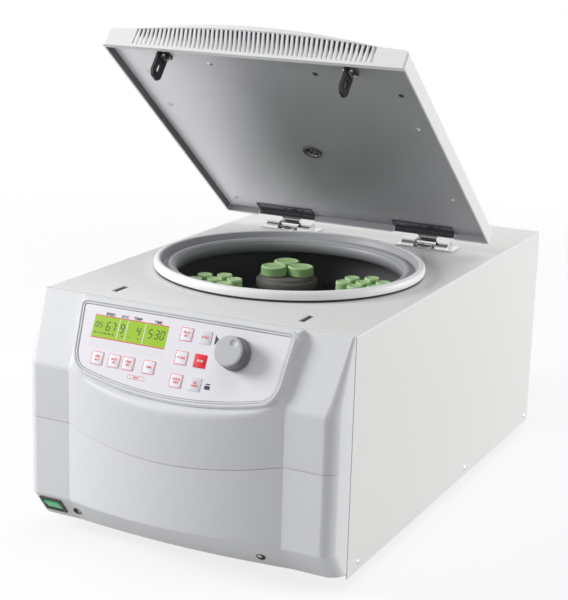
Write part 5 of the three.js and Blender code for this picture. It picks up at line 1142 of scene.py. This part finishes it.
# Lid latches
# Each latch is a blackened steel hook with a window for the lock bolt. It hangs from a bright
# folded bracket screwed under the liner.
latch_black = surface("latch_black", (0.014, 0.014, 0.016), 0.38, metal=0.3, drift=0.3, grain=1300,
                      relief=0.02)
bracket_steel = surface("bracket_steel", (0.14, 0.14, 0.145), 0.3, metal=0.9, drift=0.15, grain=1200,
                        relief=0.01)
LATCH_X, LATCH_Y, LATCH_PIN_DROP, LATCH_PIN_APART = 131.0, 39.0, 8.2, 6
folds = ((-7.6, 7.6, 13.5, 3.4, 2.3), (2.4, 3.6, 9.5, 12.7, 2.7), (-3.6, -2.4, 9.5, 10.2, 2.7))
pin_grid = turned([(0.6, -6.4), (1.6, -6.2), (1.9, -5.8), (1.9, 5.8), (1.6, 6.2), (0.6, 6.4)], steps=20)
for side, word in ((-1, "left"), (1, "right")):
    softened("latch_hook_" + word, latch_black, bevel=0.6)
    x = side * LATCH_X
    shapes = [block((x + left, LATCH_Y - half, LINER_Z - deep),
                    (x + right, LATCH_Y + half, LINER_Z - shallow), ease=0.4)
              for left, right, half, deep, shallow in folds]
    joined("latch_bracket_" + word, [on_lid(s) for s in shapes], "lid", bracket_steel)
    pin_spots = [(x, LATCH_Y + y, LINER_Z - LATCH_PIN_DROP) for y in (-LATCH_PIN_APART, LATCH_PIN_APART)]
    pins = [on_lid(moved(pin_grid, (0, 1, 0), (0, 0, 1), (1, 0, 0), spot)) for spot in pin_spots]
    joined("latch_pins_" + word, pins, "lid", ground_steel)


# Hinges
# A polished leaf under the lid turns on a pin between two curled lugs, whose foot is screwed to the
# cover's top.
hinge_chrome = surface("hinge_chrome", (0.72, 0.72, 0.73), 0.16, metal=1.0, drift=0.05, grain=600,
                       relief=0.006)
KNUCKLE_RADIUS, HINGE_X, FOOT_PLATE_Z, HINGE_SCREW_RADIUS = 0.0095, 110.0, 306.5, 3.0


def knuckle_painted_reflection(wire, place, tint, roughness, height):
    """The leaf is painted dark as a painted reflection, and bright round its pin, within a radius of
    the hinge line, as a painted highlight.
    """
    near = place.distance(placed((0, PIVOT_Y, LID_PIVOT_Z)), (0, 1, 1)) < KNUCKLE_RADIUS
    return near.mixed(tint, (0.78, 0.78, 0.79)), roughness, height


# The chrome leaf's dark colour and bright knuckle are painted reflections.
leaf_chrome = surface("leaf_chrome", (0.13, 0.13, 0.14), 0.22, metal=1.0, drift=0.08, grain=600,
                      relief=0.006, pattern=knuckle_painted_reflection)
hinge_screws = [(x, 14) for x in (-34, -12, 12, 34)] + [(x, -10.5) for x in (-8, 8)]
for side, word in ((-1, "left"), (1, "right")):
    softened("hinge_leaf_" + word, leaf_chrome, bevel=0.5)
    softened("hinge_base_" + word, hinge_chrome, bevel=0.5)
    heads = [((side * HINGE_X + x, PIVOT_Y + y, FOOT_PLATE_Z), (0, 0, 1), HINGE_SCREW_RADIUS)
             for x, y in hinge_screws]
    dome_screws("hinge_screws_" + word, heads, "case", screw_finish)


# Inside the case
# Under the cover are the lock's beam and bolts, the control board, and the cooler: a black domed
# compressor, a finned condenser and its fan.
softened("lock_carrier", zinc_sheet, bevel=0.5)


TRACE_LINE, TRACE_LONG, TRACE_APART, TRACE_SHARE, TRACE_RAISED = 0.0005, 0.009, 0.004, 0.6, 2.0


def board_traces(wire, place, tint, roughness, height):
    """Paler copper runs under the green lacquer, a lattice of short lines."""
    runs = wire.node("TexBrick", {"offset": 0.4},
                     {"Vector": place, "Scale": 1.0, "Mortar Size": TRACE_LINE,
                      "Brick Width": TRACE_LONG, "Row Height": TRACE_APART}, out=1)
    return (runs * TRACE_SHARE).mixed(tint, (0.06, 0.24, 0.08)), roughness, height + runs * TRACE_RAISED


board_green = surface("board_green", (0.02, 0.14, 0.05), 0.35, drift=0.1, grain=900, relief=0.02,
                      pattern=board_traces)
dress(board_green, "control_board")
compressor_black = surface("compressor_black", (0.015, 0.015, 0.017), 0.3, drift=0.3, grain=500,
                           relief=0.03, lacquer=0.3)
softened("compressor", compressor_black, bevel=4.0, steps=3)
condenser_metal = surface("condenser_metal", (0.42, 0.43, 0.44), 0.4, metal=0.8, drift=0.1, grain=500,
                          relief=0.02)
softened("condenser", condenser_metal, bevel=0.4)
softened("fan_wheel", black_moulding, bevel=0.6)


# Studio
# A plain white floor fades into a white surround. A soft key stands at the front left, another lamp
# behind on the right, and a weak one hangs overhead.
def background_rays(wire):
    """1 for the camera's rays and those of gloss and glass, which show the background, and 0 for all
    others."""
    kinds = [wire.node("LightPath", out=name)
             for name in ("Is Camera Ray", "Is Glossy Ray", "Is Transmission Ray")]
    return (kinds[0] + kinds[1] + kinds[2]).clipped()


FLOOR_HALF, PAPER_SEEN, PAPER_LIGHTING = 6, (0.97, 0.97, 0.97), (0.62, 0.62, 0.62)
floor_mesh = bpy.data.meshes.new("floor")
floor_corners = [(x * FLOOR_HALF, y * FLOOR_HALF, 0) for x, y in ((-1, -1), (1, -1), (1, 1), (-1, 1))]
floor_mesh.from_pydata(floor_corners, [], [(0, 1, 2, 3)])
floor = bpy.data.objects.new("floor", floor_mesh)
bpy.context.scene.collection.objects.link(floor)
PAPER_LIT, FADE_FROM, FADE_STEP = 0.79, 1.1, 0.9
floor_white = bpy.data.materials.new("floor_white")
wire = bare_tree(floor_white)
seen = background_rays(wire)
paper = wire.node("BsdfDiffuse", {}, {"Color": seen.mixed(PAPER_LIGHTING, PAPER_SEEN)})
lit = wire.node("Emission", {}, {"Color": (1, 1, 1, 1), "Strength": 1.0})
shown = wire.node("MixShader", {}, {0: seen * PAPER_LIT, 1: paper, 2: lit})
away = wire.node("TexCoord", out="Object").distance((0, 0, 0))
clear = wire.node("BsdfTransparent", {}, {"Color": (1, 1, 1, 1)})
wire.node("MixShader", {},
          {0: ((away - FADE_FROM) * FADE_STEP).clipped(), 1: shown, 2: clear}).ends("Material")
floor_mesh.materials.append(floor_white)

SURROUND_LIGHT = 0.31
world = bpy.data.worlds.new("surround")
wire = bare_tree(world)
strength = background_rays(wire) * (1 - SURROUND_LIGHT) + SURROUND_LIGHT
wire.node("Background", {}, {"Color": (1, 1, 1, 1), "Strength": strength}).ends("World")
bpy.context.scene.world = world


def softbox(name, at, aim, size, watts):
    """A square lamp at a place, facing a point."""
    lamp = bpy.data.lights.new(name, "AREA")
    lamp.shape, lamp.size, lamp.energy = "SQUARE", size, watts
    facing = (Vector(aim) - Vector(at)).to_track_quat("-Z", "Y").to_matrix().to_4x4()
    made = bpy.data.objects.new(name, lamp)
    made.matrix_world = Matrix.Translation(at) @ facing
    bpy.context.scene.collection.objects.link(made)


softbox("key", at=(-2.8, -1.7, 1.7), aim=(0, 0, 0.27), size=1.4, watts=99)
softbox("side", at=(3.2, 2.2, 0.9), aim=(0, 0, 0.27), size=1.6, watts=84)
softbox("top", at=(0.8, 0, 3.8), aim=(0, 0, 0.3), size=2.8, watts=38)
bpy.context.scene.view_settings.view_transform = "Standard"
